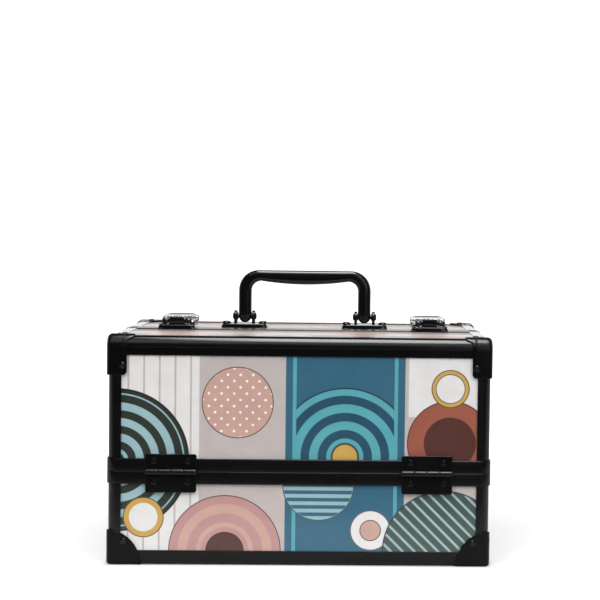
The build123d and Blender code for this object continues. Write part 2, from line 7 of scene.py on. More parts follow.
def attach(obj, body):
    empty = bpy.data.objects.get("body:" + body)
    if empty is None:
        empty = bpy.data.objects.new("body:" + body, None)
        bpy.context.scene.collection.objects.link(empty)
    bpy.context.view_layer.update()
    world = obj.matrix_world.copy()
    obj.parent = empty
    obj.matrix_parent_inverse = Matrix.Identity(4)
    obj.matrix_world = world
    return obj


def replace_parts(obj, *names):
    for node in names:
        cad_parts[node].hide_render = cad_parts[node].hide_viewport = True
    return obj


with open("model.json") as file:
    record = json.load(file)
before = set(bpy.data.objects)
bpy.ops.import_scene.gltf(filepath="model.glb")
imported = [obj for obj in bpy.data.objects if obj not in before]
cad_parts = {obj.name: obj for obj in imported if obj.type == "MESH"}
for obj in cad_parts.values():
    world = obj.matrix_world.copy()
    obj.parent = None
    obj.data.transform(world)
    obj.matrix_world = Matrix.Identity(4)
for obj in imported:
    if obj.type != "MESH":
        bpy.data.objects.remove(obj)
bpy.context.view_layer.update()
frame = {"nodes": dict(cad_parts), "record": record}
nodes = frame["nodes"]
scene = bpy.context.scene
scene.view_settings.view_transform = "Standard"
mm = 0.001
print("case: frame loaded,", len(nodes), "nodes")

# sizes of the case in millimetres, as the solids have them
case = dict(width=320.0, depth=204.0, top=191.0, split=79.0, edgeRadius=8.0, bandFace=103.0)
halfX, halfY = case["width"] / 2, case["depth"] / 2
sides = (-1, 1)
lids = ((-1, "front_lid"), (1, "back_lid"))


def ink(red, green, blue):  # an sRGB colour out of 255, turned to linear
    c = np.array([red, green, blue]) / 255.0
    lin = np.where(c <= 0.04045, c / 12.92, ((c + 0.055) / 1.055) ** 2.4)
    return (*[float(v) for v in lin], 1.0)


def feed(tree, target, value):  # a link for an output socket, else a plain value
    if isinstance(value, bpy.types.NodeSocket):
        tree.links.new(value, target)
    else:
        target.default_value = value


def node(tree, kind, sockets=None, **settings):  # sockets: what goes into inputs, by name or number
    made = tree.nodes.new(kind)
    for key, value in settings.items():
        setattr(made, key, value)
    for key, value in (sockets or {}).items():
        feed(tree, made.inputs[key], value)
    return made


def calc(tree, operation, *values):
    return node(tree, "ShaderNodeMath", dict(enumerate(values)), operation=operation).outputs[0]


def ramp(tree, value, low, high, start=0.0, end=1.0):  # smooth change from start to end between low and high
    sockets = dict(enumerate((value, low, high, start, end)))
    return node(tree, "ShaderNodeMapRange", sockets, interpolation_type="SMOOTHSTEP").outputs[0]


def mixColor(tree, share, first, second, blend="MIX"):
    sockets = {0: share, 6: first, 7: second}
    return node(tree, "ShaderNodeMix", sockets, data_type="RGBA", blend_type=blend).outputs[2]


def noise(tree, vector, scale, detail=3.0, rough=0.55):
    sockets = dict(Vector=vector, Scale=scale, Detail=detail, Roughness=rough)
    return node(tree, "ShaderNodeTexNoise", sockets).outputs["Fac"]


def objectPlace(tree):
    return node(tree, "ShaderNodeTexCoord").outputs["Object"]


def axesOf(tree, vector):
    return node(tree, "ShaderNodeSeparateXYZ", {0: vector}).outputs


def newGroup(name, inputs, outputs):
    tree = bpy.data.node_groups.new(name, "ShaderNodeTree")
    for sockets, direction in ((inputs, "INPUT"), (outputs, "OUTPUT")):
        for label, kind in sockets.items():
            tree.interface.new_socket(label, in_out=direction, socket_type="NodeSocket" + kind)
    return tree, tree.nodes.new("NodeGroupInput").outputs, tree.nodes.new("NodeGroupOutput").inputs


def useGroup(tree, group, **values):
    return node(tree, "ShaderNodeGroup", values, node_tree=group).outputs


rubEffect = dict(samples=6, detail=4.0, patch=(0.45, 0.68), bend=(0.03, 0.25))
smudgeEffect = dict(detail=5.0, rough=0.6, patch=(0.3, 0.7))


def makeEdgeGroup():  # rounded shading at corners, and a patchy mask where corners are rubbed
    tree, start, end = newGroup("edgeRub", dict(Radius="Float", Patch="Float"), dict(Mask="Float", Normal="Vector"))
    rounded = node(tree, "ShaderNodeBevel", dict(Radius=start["Radius"]), samples=rubEffect["samples"]).outputs[0]
    facing = node(tree, "ShaderNodeNewGeometry").outputs["Normal"]
    alike = node(tree, "ShaderNodeVectorMath", {0: rounded, 1: facing}, operation="DOT_PRODUCT").outputs["Value"]
    patch = ramp(tree, noise(tree, objectPlace(tree), start["Patch"], rubEffect["detail"]), *rubEffect["patch"])
    corner = ramp(tree, calc(tree, "SUBTRACT", 1.0, alike), *rubEffect["bend"])
    feed(tree, end["Mask"], calc(tree, "MULTIPLY", corner, patch))
    feed(tree, end["Normal"], rounded)
    return tree


def makeGrainGroup():  # fine relief: noise stretched by a scale for each axis
    tree, start, end = newGroup("fineGrain", dict(Stretch="Vector", Detail="Float"), dict(Height="Float"))
    sockets = dict(Vector=objectPlace(tree), Scale=start["Stretch"])
    stretched = node(tree, "ShaderNodeMapping", sockets).outputs[0]
    feed(tree, end["Height"], noise(tree, stretched, 1.0, start["Detail"]))
    return tree


def makeSmudgeGroup():  # roughness that drifts between two values, as handled surfaces do
    tree, start, end = newGroup("smudge", dict(Low="Float", High="Float", Size="Float"), dict(Roughness="Float"))
    drift = noise(tree, objectPlace(tree), start["Size"], smudgeEffect["detail"], smudgeEffect["rough"])
    spread = calc(tree, "SUBTRACT", start["High"], start["Low"])
    patch = ramp(tree, drift, *smudgeEffect["patch"])
    feed(tree, end["Roughness"], calc(tree, "MULTIPLY_ADD", patch, spread, start["Low"]))
    return tree


edgeRub, fineGrain, smudge = makeEdgeGroup(), makeGrainGroup(), makeSmudgeGroup()
print("case: shared effects ready")

# printed laminate: an abstract design of discs, arcs and stripes, painted in layers
inkColors = dict(
    teal=ink(51, 100, 124), deepTeal=ink(38, 78, 100), aqua=ink(88, 165, 175), paleAqua=ink(150, 185, 190),
    greige=ink(190, 181, 178), offWhite=ink(226, 224, 222), green=ink(70, 82, 74), darkGreen=ink(46, 52, 48),
    tan=ink(199, 161, 148), pink=ink(187, 143, 140), brown=ink(84, 48, 42), warmBrown=ink(154, 88, 70),
    gold=ink(200, 160, 80), stone=ink(158, 147, 142), sand=ink(176, 158, 138), line=ink(38, 34, 34),
    white=ink(240, 238, 236))
# widths in metres of a soft edge and of an outline, the drift of the printed colour, and the size of an inner disc
pressWork = dict(soft=0.00025, outline=0.0007, size=60.0, detail=6.0, rough=0.65, patch=(0.2, 0.8), tone=(0.93, 1.05),
                 inner=0.6)


class Sketch:  # keeps the colour painted so far, for shapes given by a centre and sizes in metres
    def __init__(self, name, ground):
        self.tree, start, self.end = newGroup(name, dict(Across="Float", Up="Float"), dict(Color="Color"))
        self.u, self.v = start["Across"], start["Up"]
        self.place = node(self.tree, "ShaderNodeCombineXYZ", {0: self.u, 1: self.v}).outputs[0]
        self.color = inkColors[ground]

    def calc(self, operation, *values):
        return calc(self.tree, operation, *values)

    def far(self, u, v):  # distance from a point
        sockets = {0: self.place, 1: (u, v, 0)}
        return node(self.tree, "ShaderNodeVectorMath", sockets, operation="DISTANCE").outputs["Value"]

    def under(self, value, limit):  # 1 where a value is below a limit
        return ramp(self.tree, value, limit - pressWork["soft"], limit + pressWork["soft"], 1.0, 0.0)

    def over(self, value, limit):  # 1 where a value is above a limit
        return self.under(self.calc("MULTIPLY", value, -1.0), -limit)

    def both(self, first, second):
        return self.calc("MULTIPLY", first, second)

    def band(self, value, low, high):  # 1 where a value is between two limits
        away = self.calc("ABSOLUTE", self.calc("SUBTRACT", value, (low + high) / 2))
        return self.under(away, (high - low) / 2)

    def lay(self, mask, color, keep=None):  # a colour over what is there, where the mask and what is kept allow it
        mask = mask if keep is None else self.both(mask, keep)
        self.color = mixColor(self.tree, mask, self.color, inkColors[color])

    def disc(self, u, v, radius, color, outline=None, keep=None):
        away = self.far(u, v)
        self.lay(self.under(away, radius), color, keep)
        if outline:
            self.lay(self.band(away, radius - pressWork["outline"], radius), outline, keep)

    def rings(self, u, v, inner, outer, step, color, keep=None):  # every second ring of a set round one centre
        away = self.far(u, v)
        wave = self.calc("PINGPONG", self.calc("SUBTRACT", away, inner), step)
        self.lay(self.both(self.under(wave, step / 2), self.band(away, inner, outer)), color, keep)

    def stripes(self, value, step, share, color, keep):  # parallel stripes inside a mask
        self.lay(self.under(self.calc("PINGPONG", value, step / 2), step * share / 2), color, keep)

    def dots(self, step, radius, color, keep):  # staggered round spots inside a mask
        for shift in (0.0, 0.5):
            squares = []
            for value in (self.u, self.v):
                moved = self.calc("MODULO", self.calc("ADD", value, 1.0 + shift * step), step)
                wrapped = self.calc("SUBTRACT", moved, step / 2)
                squares.append(self.both(wrapped, wrapped))
            self.lay(self.under(self.calc("SQRT", self.calc("ADD", *squares)), radius), color, keep)

    def done(self):  # slight unevenness of the printed colour
        drift = noise(self.tree, objectPlace(self.tree), *[pressWork[key] for key in ("size", "detail", "rough")])
        mottle = ramp(self.tree, drift, *pressWork["patch"], *pressWork["tone"])
        gray = node(self.tree, "ShaderNodeCombineColor", {0: mottle, 1: mottle, 2: mottle}).outputs[0]
        feed(self.tree, self.end["Color"], mixColor(self.tree, 1.0, self.color, gray, "MULTIPLY"))
        return self.tree


def makeWallArt():  # the walls: across runs along the wall from its middle, up from the floor
    art = Sketch("wallArt", "greige")
    split = case["split"] * mm
    upper, lower = art.over(art.v, split), art.under(art.v, split)
    leftSky = art.under(art.u, -0.084)
    art.lay(leftSky, "offWhite")
    art.stripes(art.u, 0.013, 0.12, "greige", leftSky)
    art.lay(art.band(art.u, -0.012, 0.088), "teal")
    art.lay(art.band(art.u, -0.006, -0.003), "aqua")
    art.lay(art.band(art.u, 0.079, 0.082), "aqua")
    tealArch = art.both(art.band(art.u, -0.003, 0.079), upper)
    art.disc(0.038, 0.092, 0.058, "deepTeal", "line", tealArch)
    art.rings(0.038, 0.092, 0.012, 0.057, 0.0072, "aqua", tealArch)
    art.disc(0.038, 0.092, 0.011, "gold", "line", upper)
    art.disc(-0.052, 0.137, 0.030, "tan", "line")
    art.dots(0.0105, 0.0011, "white", art.under(art.far(-0.052, 0.137), 0.029))
    art.disc(-0.152, 0.088, 0.060, "darkGreen")
    art.rings(-0.152, 0.088, 0.006, 0.056, 0.0065, "paleAqua")
    art.lay(art.band(art.far(-0.152, 0.088), 0.0585, 0.060), "line")
    art.lay(art.both(art.over(art.u, 0.091), art.band(art.v, 0.126, 0.176)), "offWhite")
    art.disc(0.126, 0.104, 0.036, "warmBrown", "line", upper)
    art.disc(0.126, 0.104, 0.022, "brown", None, upper)
    art.disc(0.126, 0.150, 0.016, "gold", "line")
    art.disc(0.126, 0.150, 0.0125, "offWhite", "line")
    art.disc(-0.062, 0.012, 0.047, "pink", "line", lower)
    art.rings(-0.062, 0.012, 0.020, 0.0435, 0.0078, "tan", lower)
    art.disc(-0.062, 0.012, 0.016, "brown", "line", lower)
    art.disc(-0.130, 0.040, 0.017, "gold", "line", lower)
    art.disc(-0.130, 0.040, 0.012, "offWhite", None, lower)
    art.disc(0.016, 0.068, 0.030, "paleAqua", "line", lower)
    art.stripes(art.v, 0.0062, 0.5, "teal", art.both(art.under(art.far(0.016, 0.068), 0.029), lower))
    art.disc(0.060, 0.030, 0.017, "offWhite", "line", lower)
    art.disc(0.060, 0.030, 0.009, "tan", "line", lower)
    art.disc(0.122, 0.012, 0.052, "green", "line", lower)
    rightHill = art.both(art.under(art.far(0.122, 0.012), 0.051), lower)
    art.stripes(art.calc("ADD", art.u, art.v), 0.0100, 0.28, "paleAqua", rightHill)
    return art.done()


def makeTopArt():  # the top: broad quiet bands along the width and a few pale discs
    art = Sketch("topArt", "stone")
    art.lay(art.band(art.v, -0.060, -0.034), "greige")
    art.lay(art.band(art.v, 0.030, 0.064), "greige")
    for u, v, radius, color in ((-0.105, -0.074, 0.026, "tan"), (-0.02, -0.082, 0.030, "greige"),
                                (0.052, -0.045, 0.022, "tan"), (0.118, -0.080, 0.026, "pink"),
                                (0.045, 0.070, 0.032, "sand"), (-0.062, 0.062, 0.028, "tan"),
                                (0.120, 0.060, 0.020, "greige")):
        art.disc(u, v, radius, color)
        art.disc(u, v, radius * pressWork["inner"], "sand")
    return art.done()


wallArt, topArt = makeWallArt(), makeTopArt()
print("case: printed design ready")


def startMaterial(name):
    made = bpy.data.materials.new(name)
    made.use_nodes = True
    tree = made.node_tree
    tree.nodes.clear()
    shader = node(tree, "ShaderNodeBsdfPrincipled")
    node(tree, "ShaderNodeOutputMaterial", {0: shader.outputs[0]})
    return made, tree, shader.inputs


def addBump(tree, shader, height, strength, distance, normal=None):
    sockets = dict(Strength=strength, Distance=distance, Height=height)
    if normal is not None:
        sockets["Normal"] = normal
    feed(tree, shader["Normal"], node(tree, "ShaderNodeBump", sockets).outputs[0])


def hazed(tree, finish):  # roughness that drifts inside the finish's range
    low, high = finish["rough"]
    return useGroup(tree, smudge, Low=low, High=high, Size=finish["hazeSize"])[0]


printFinish = dict(rough=(0.30, 0.42), hazeSize=30.0, coat=0.55, topCoat=0.15, coatRough=0.12, lining=(24, 24, 25),
                   liningRough=0.85, boardMiddle=3.2, peel=0.04, peelScale=420.0, peelDetail=2.0, peelDepth=0.0004)


def makePrint(name, art, across, up, depthAxis, outer, coat):
    # walls read (x, z), ends (y, z) and tops (x, y); the inner half of each board is lined in black
    made, tree, shader = startMaterial(name)
    where = axesOf(tree, objectPlace(tree))
    picture = useGroup(tree, art, Across=where[across], Up=where[up])[0]
    middle = (outer - printFinish["boardMiddle"]) * mm
    inside = calc(tree, "LESS_THAN", calc(tree, "ABSOLUTE", where[depthAxis]), middle)
    feed(tree, shader["Base Color"], mixColor(tree, inside, picture, ink(*printFinish["lining"])))
    lining = calc(tree, "MULTIPLY", inside, printFinish["liningRough"])
    feed(tree, shader["Roughness"], calc(tree, "MAXIMUM", hazed(tree, printFinish), lining))
    feed(tree, shader["Coat Weight"], calc(tree, "MULTIPLY_ADD", inside, -coat, coat))
    feed(tree, shader["Coat Roughness"], printFinish["coatRough"])
    peel = useGroup(tree, fineGrain, Stretch=(printFinish["peelScale"],) * 3, Detail=printFinish["peelDetail"])[0]
    addBump(tree, shader, peel, printFinish["peel"], printFinish["peelDepth"])
    return made


# black finishes: colour, colour of rubbed corners, roughness range, specular level, grain scale for each axis,
# relief, corner rounding in metres, share of rubbing and weight of a clear coat
profile = dict(color=(8, 8, 9), worn=(60, 60, 62), grain=(30, 30, 2600), relief=0.02, corner=0.0011, rub=0.2)
pressed = dict(color=(8, 8, 9), worn=(58, 56, 54), grain=(900,) * 3, corner=0.0009, rub=0.3)
polished = dict(worn=(80, 78, 76), rough=(0.05, 0.10), grain=(700,) * 3, relief=0.02, corner=0.0005)
blackFinishes = dict(
    anodised=dict(profile, rough=(0.13, 0.20), level=0.36),
    sheen=dict(profile, rough=(0.10, 0.16), level=0.8, coat=0.8),
    # painted light: the rims share the profiles' black aluminium, made a little lighter for the brighter reflection
    # they show
    band=dict(profile, color=(11, 11, 12), rough=(0.18, 0.26), level=0.27),
    post=dict(profile, color=(9, 9, 10), rough=(0.22, 0.30), level=0.40),
    paint=dict(pressed, rough=(0.18, 0.26), level=0.30, relief=0.03),
    foot=dict(pressed, rough=(0.2, 0.3), level=0.18, relief=0.04),
    gloss=dict(polished, color=(7, 7, 8), level=0.5, rub=0.25),
    # painted shade: the hinge screws are darker than the other gloss parts, standing in for the shade in their
    # countersunk holes
    screw=dict(polished, color=(4, 4, 4), level=0.34, rub=0.1),
    handle=dict(color=(8, 8, 9), worn=(40, 40, 42), rough=(0.10, 0.17), level=0.5, grain=(1300,) * 3, relief=0.02,
                corner=0.0003, rub=0.1),
    steel=dict(color=(14, 14, 15), worn=(100, 98, 94), rough=(0.14, 0.28), level=0.5, grain=(1500,) * 3, relief=0.05,
               corner=0.0003, rub=0.4),
    tray=dict(color=(20, 20, 21), worn=(40, 40, 41), rough=(0.52, 0.66), level=0.35, grain=(2200,) * 3, relief=0.22,
              corner=0.0005, rub=0.15),
    board=dict(color=(20, 20, 21), worn=(52, 50, 48), rough=(0.45, 0.6), level=0.3, grain=(800,) * 3, relief=0.15,
               corner=0.0004, rub=0.2))
blackCommon = dict(patch=140.0, driftSize=45.0, driftDetail=5.0, drift=(0.25, 0.75), lighter=1.35, hazeSize=38.0,
                   coat=0.0, coatRough=0.08, detail=3.0, depth=0.0004)


def makeBlack(name):
    finish = dict(blackCommon, **blackFinishes[name])
    made, tree, shader = startMaterial(name + "Black")
    corner = useGroup(tree, edgeRub, Radius=finish["corner"], Patch=finish["patch"])
    worn = calc(tree, "MULTIPLY", corner["Mask"], finish["rub"])
    drift = ramp(tree, noise(tree, objectPlace(tree), finish["driftSize"], finish["driftDetail"]), *finish["drift"])
    lighter = ink(*[c * finish["lighter"] for c in finish["color"]])
    base = mixColor(tree, drift, ink(*finish["color"]), lighter)
    feed(tree, shader["Base Color"], mixColor(tree, worn, base, ink(*finish["worn"])))
    feed(tree, shader["Roughness"], hazed(tree, finish))
    feed(tree, shader["Specular IOR Level"], finish["level"])
    feed(tree, shader["Coat Weight"], finish["coat"])
    feed(tree, shader["Coat Roughness"], finish["coatRough"])
    grain = useGroup(tree, fineGrain, Stretch=finish["grain"], Detail=finish["detail"])[0]
    addBump(tree, shader, grain, finish["relief"], finish["depth"], corner["Normal"])
    return made


# rim: a darker colour past the given depth, in millimetres, where the lever cover is rolled; a painted shade standing
# in for the dimmer reflection on the rolled end
chromeFinish = dict(color=(206, 206, 210), shade=(172, 172, 178), rim=(188, 188, 194), rimY=(34.6, 36.2),
                    driftSize=160.0, driftDetail=4.0, drift=(0.3, 0.7), rough=(0.06, 0.16), hazeSize=90.0,
                    corner=0.0005, patch=200.0, grain=900.0, detail=3.0, relief=0.03, depth=0.0003)


def makeChrome():
    finish = chromeFinish
    made, tree, shader = startMaterial("leverChrome")
    where = objectPlace(tree)
    drift = ramp(tree, noise(tree, where, finish["driftSize"], finish["driftDetail"]), *finish["drift"])
    sheet = mixColor(tree, drift, ink(*finish["color"]), ink(*finish["shade"]))
    # painted shade: the rolled end of the cover gets a darker chrome colour, standing in for its dimmer reflection
    rim = ramp(tree, axesOf(tree, where)[1], *[y * mm for y in finish["rimY"]])
    feed(tree, shader["Base Color"], mixColor(tree, rim, sheet, ink(*finish["rim"])))
    feed(tree, shader["Metallic"], 1.0)
    feed(tree, shader["Roughness"], hazed(tree, finish))
    corner = useGroup(tree, edgeRub, Radius=finish["corner"], Patch=finish["patch"])
    grain = useGroup(tree, fineGrain, Stretch=(finish["grain"],) * 3, Detail=finish["detail"])[0]
    addBump(tree, shader, grain, finish["relief"], finish["depth"], corner["Normal"])
    return made


velvetFinish = dict(color=(20, 20, 21), nap=(44, 43, 44), strokeSize=26.0, strokeDetail=4.0, strokeRough=0.7,
                    stroke=(0.3, 0.7), rough=0.95, sheen=0.6, sheenRough=0.4, pile=2600.0, detail=2.0, relief=0.5,
                    depth=0.0006)


def makeVelvet():
    finish = velvetFinish
    made, tree, shader = startMaterial("velvetFoam")
    brushed = noise(tree, objectPlace(tree), *[finish["stroke" + key] for key in ("Size", "Detail", "Rough")])
    stroke = ramp(tree, brushed, *finish["stroke"])
    feed(tree, shader["Base Color"], mixColor(tree, stroke, ink(*finish["color"]), ink(*finish["nap"])))
    feed(tree, shader["Roughness"], finish["rough"])
    feed(tree, shader["Sheen Weight"], finish["sheen"])
    feed(tree, shader["Sheen Roughness"], finish["sheenRough"])
    pile = useGroup(tree, fineGrain, Stretch=(finish["pile"],) * 3, Detail=finish["detail"])[0]
    addBump(tree, shader, pile, finish["relief"], finish["depth"])
    return made


finishes = {name: makeBlack(name) for name in blackFinishes}
finishes["wallPrint"] = makePrint("wallPrint", wallArt, 0, 2, 1, halfY, printFinish["coat"])
finishes["endPrint"] = makePrint("endPrint", wallArt, 1, 2, 0, halfX, printFinish["coat"])
finishes["topPrint"] = makePrint("topPrint", topArt, 0, 1, 2, case["top"], printFinish["topCoat"])
finishes["chrome"] = makeChrome()
finishes["velvet"] = makeVelvet()
finishOfSlot = dict(black_board="board", foam_lining="velvet", tray_plastic="tray", handle_plastic="handle",
                    latch_metal="gloss", fastener_steel="steel", black_steel="paint", black_aluminium="anodised")


def finishOf(name, slot):
    if slot == "printed_board":
        return "topPrint" if "_top_" in name else "endPrint" if "left" in name or "right" in name else "wallPrint"
    if name.endswith("latch_lever"):
        return "chrome"
    if name.endswith("_posts"):
        return "post"
    if "rim" in name or name == "base_bottom_profiles":
        return "band"
    return finishOfSlot[slot]


slotOf = {item["node"]: item["material_slot"] for item in frame["record"]["subparts"]}
for name, solid in nodes.items():
    solid.data.materials.clear()
    solid.data.materials.append(finishes[finishOf(name, slotOf[name])])
print("case: materials on", len(slotOf), "nodes")


def gridFaces(rows, columns, wrap):  # quads between neighbours of a grid; wrap joins the last column to the first
    row, column = np.meshgrid(np.arange(rows - 1), np.arange(columns if wrap else columns - 1), indexing="ij")
    here, beside = row * columns + column, row * columns + (column + 1) % columns
    return np.stack([here, beside, beside + columns, here + columns], -1).reshape(-1, 4)


def surface(x, y, z, wrap=True):  # a shell, which is (points, faces), from the coordinates of a grid
    points = np.stack(np.broadcast_arrays(x, y, z), -1)
    return points.reshape(-1, 3), gridFaces(*points.shape[:2], wrap)


meshWork = dict(weld=1e-7, collapse=1e-8)


def addPiece(name, shells, finish, body, sharp=40):  # one mesh of shells in millimetres
    offsets = np.cumsum([0] + [len(points) for points, _ in shells[:-1]])
    points = np.concatenate([points for points, _ in shells]) * mm
    faces = np.concatenate([faces + offset for (_, faces), offset in zip(shells, offsets)])
    mesh = bpy.data.meshes.new(name)
    mesh.from_pydata(points.tolist(), [], faces.tolist())
    work = bmesh.new()
    work.from_mesh(mesh)
    bmesh.ops.remove_doubles(work, verts=work.verts, dist=meshWork["weld"])
    bmesh.ops.dissolve_degenerate(work, edges=work.edges, dist=meshWork["collapse"])
    bmesh.ops.recalc_face_normals(work, faces=work.faces)
    work.to_mesh(mesh)
    work.free()
    mesh.shade_smooth()
    mesh.set_sharp_from_angle(angle=math.radians(sharp))
    mesh.materials.append(finishes[finish])
    piece = bpy.data.objects.new(name, mesh)
    scene.collection.objects.link(piece)
    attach(piece, body)
    return piece


def join(*rows):
    return np.concatenate(rows)


def quarter(count):  # angles of a quarter turn
    return np.linspace(0, np.pi / 2, count)


def circle(count):  # angles of a full turn, as one row
    return np.linspace(0, 2 * np.pi, count, endpoint=False)[None, :]


def squared(angle, power):  # cosine and sine of an angle, drawn toward a square by a power below 1
    return [np.sign(wave) * np.abs(wave) ** power for wave in (np.cos(angle), np.sin(angle))]


def part(value, start, span):  # 0 to 1 while a value goes through a span
    return np.clip((value - start) / span, 0, 1)


def arch(share, power=2):  # 1 at share 0, falling to 0 at share 1 along a round
    return np.sqrt(np.clip(1 - share ** power, 0, 1))


def revolved(radii, heights, segments=32):  # a profile of radius and height turned about the local Z axis
    radii, heights = np.asarray(radii, float)[:, None], np.asarray(heights, float)[:, None]
    return surface(radii * np.cos(circle(segments)), radii * np.sin(circle(segments)), heights)


def placed(shell, origin, up, along=None):  # the shell's Z axis turned to up, its X axis to along, moved to origin
    up, along = np.array(up, float), np.array(along or ((0, 1, 0) if up[0] else (1, 0, 0)), float)
    return shell[0] @ np.stack([along, np.cross(up, along), up]) + np.array(origin, float), shell[1]


def prism(section, middle, low, high):
    # a section carried from low to high, with both ends drawn in to its middle: (along, first, second)
    shrink = np.array([0.0, 1.0, 1.0, 0.0])[:, None]
    first, second = (point + (values - point) * shrink for values, point in zip(section, middle))
    return np.array([low, low, high, high], float)[:, None], first, second


def bodyGroups():
    return dict(base=[], front_lid=[], back_lid=[])


screwHead = dict(fall=0.94, fallPower=3, slot=0.16, wall=1.4, reach=0.62, soft=0.08)


def crossHead(radius, height, recess):
    # screw head: height is a dome, less a cross of two smooth slots in its middle
    share = np.linspace(0, 1, 22)[:, None]
    x, y = radius * share * np.cos(circle(56)), radius * share * np.sin(circle(56))
    dome = height * np.sqrt(1 - screwHead["fall"] * share ** screwHead["fallPower"])
    slot = np.minimum(np.abs(x), np.abs(y)) / (screwHead["slot"] * radius)
    z = dome - recess * np.clip(screwHead["wall"] - slot, 0, 1) * part(share, screwHead["reach"], -screwHead["soft"])
    return surface(*[np.concatenate(rows) for rows in ((x, x[-1:]), (y, y[-1:]), (z, 0 * z[-1:]))])


rivet = dict(radius=2.8, height=1.1, fall=4, dimple=0.55, dimpleRadius=1.3)
# insets and rises place the rivets; a skin is how far a protector stands off the case, a lift how much more on top
corner = dict(footInset=13.7, footRise=19.9, footSkin=1.0, capInset=12.1, capDrop=23.5, capSkin=0.8,
              shellSkin=1.15, shellLift=1.3, flangeInset=12.5, flangeLift=0.9)


def rivetShell():  # a low dome with a round dimple: height = dome of the radius less a smooth pit
    share = np.linspace(0, 1, 18)
    pit = rivet["dimple"] * np.clip(1 - (share * rivet["radius"] / rivet["dimpleRadius"]) ** 2, 0, 1)
    return revolved(share * rivet["radius"], rivet["height"] * arch(share, rivet["fall"]) - pit, 28)


def addRivets():
    shell, groups = rivetShell(), bodyGroups()
    flange, flangeTop = corner["flangeInset"], case["top"] + corner["shellSkin"] + corner["flangeLift"]
    for sx, (sy, lid) in product(sides, lids):
        for body, inset, front, end, z in (
                ("base", corner["footInset"], corner["footSkin"], corner["footSkin"], corner["footRise"]),
                (lid, corner["capInset"], corner["shellSkin"], corner["capSkin"], case["top"] - corner["capDrop"])):
            groups[body].append(placed(shell, (sx * (halfX - inset), sy * (halfY + front), z), (0, sy, 0)))
            groups[body].append(placed(shell, (sx * (halfX + end), sy * (halfY - inset), z), (sx, 0, 0)))
        groups[lid].append(placed(shell, (sx * (halfX - flange), sy * (halfY - flange), flangeTop), (0, 0, 1)))
    for body, name in (("base", "base"), ("front_lid", "frontLid"), ("back_lid", "backLid")):
        piece = addPiece(name + "RivetDomes", groups[body], "gloss", body)
        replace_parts(piece, body + "_rivets")


addRivets()

foot = dict(width=28.0, height=29.4, skin=1.05, edge=4.5, low=2.4, tuck=12.0, hem=0.3, spacing=0.8, rolling=1.5)


def footForm():
    # protector on the front left bottom corner: a line along the front, round the corner and along the end;
    # its height follows a quarter ellipse of the distance from the corner, and its lower edge is rounded in
    edge, low = foot["edge"], foot["low"]
    reach = foot["width"] * np.sin(np.linspace(np.pi / 2, 0, 26)) ** foot["spacing"]
    reach = join(reach[reach > edge], [edge])
    turn, flat = quarter(10)[1:-1], 0 * reach
    pathX = join(-halfX + reach, -halfX + edge - edge * np.sin(turn), flat - halfX)
    pathY = join(flat - halfY, -halfY + edge - edge * np.cos(turn), (-halfY + reach)[::-1])
    normX = join(flat, -np.sin(turn), flat - 1)
    normY = join(flat - 1, -np.cos(turn), flat)
    away = join(reach, 0 * turn + edge / 2, reach[::-1])
    high = foot["height"] * arch(away / foot["width"])[None, :]
    rolled = low * np.linspace(0, 1, 7)[:, None] ** foot["rolling"]
    up = np.linspace(0, 1, 9)[1:, None]
    z = join(0 * high, np.minimum(rolled, high), low + up * np.clip(high - low, 0, None), high)
    z = np.minimum(z, high)
    offset = foot["skin"] - low * (1 - arch(np.clip(1 - z / low, 0, 1)))
    offset[0], offset[-1] = -foot["tuck"], -foot["hem"]
    return surface(pathX + normX * offset, pathY + normY * offset, z, False)


def addFeet():
    points, faces = footForm()
    shells = [(points * np.array([-sx, -sy, 1.0]), faces) for sx in sides for sy in sides]
    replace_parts(addPiece("cornerFeet", shells, "foot", "base", 60), "base_corner_protectors")


addFeet()

hinge = dict(spread=214.0, holeSpread=28.0, holeRise=8.7, leaf=1.2, sink=0.02, screwRadius=2.5, screwHeight=0.55,
             recess=0.6, turns=(0.5, 0.9, 0.7, 0.4))


def addHingeScrews():  # a countersunk cross head in each leaf hole, each turned its own way
    shell = crossHead(hinge["screwRadius"], hinge["screwHeight"], hinge["recess"])
    groups = bodyGroups()
    face = case["bandFace"] + hinge["leaf"] - hinge["sink"]
    for (sy, lid), sx, side, up in product(lids, sides, sides, sides):
        x = sx * hinge["spread"] / 2 + side * hinge["holeSpread"] / 2
        turn = float(np.dot(hinge["turns"], (1, sx, side, up)))
        place = (x, sy * face, case["split"] + up * hinge["holeRise"])
        screw = placed(shell, place, (0, sy, 0), (math.cos(turn), 0, math.sin(turn)))
        groups[lid if up > 0 else "base"].append(screw)
    for body, shells in groups.items():
        addPiece(body + "HingeScrews", shells, "screw", body)


addHingeScrews()

band = dict(proud=1.0, skin=0.25, height=10.5, gap=0.12, edge=0.2, depth=0.8, seam=0.3)


def bandForm(corners, closed, low, high):
    # smooth face of a rim: a flat strip with rounded edges carried round the corners of the case; each corner
    # is an arc about its centre, and an open strip starts and ends at the seam
    steps, radius = 10, case["edgeRadius"] + band["proud"]
    start = np.array(corners)[:, None] * np.pi / 2
    angle, diagonal = (start + quarter(steps)).ravel(), np.repeat(start + np.pi / 4, steps)
    out, quadrant = (np.stack([np.cos(a), np.sin(a)], -1) for a in (angle, diagonal))
    path = np.sign(quadrant) * (np.array([halfX, halfY]) - case["edgeRadius"]) + radius * out
    if closed:
        path, out = (join(line, line[:1]) for line in (path, out))
    else:
        seam = np.sign(path[0, 1]) * band["seam"]
        path = join([[path[0, 0], seam]], path, [[path[-1, 0], seam]])
        out = join(out[:1], out, out[-1:])
    bend, edge, flat = quarter(6), band["edge"], band["skin"] - band["edge"]
    sunk = [-band["depth"]]
    offset = join(sunk, flat + edge * np.sin(bend), flat + edge * np.cos(bend), sunk)
    z = join([low], low + edge - edge * np.cos(bend), high - edge + edge * np.sin(bend), [high])
    return surface(path[:, :1] + out[:, :1] * offset, path[:, 1:] + out[:, 1:] * offset, z)


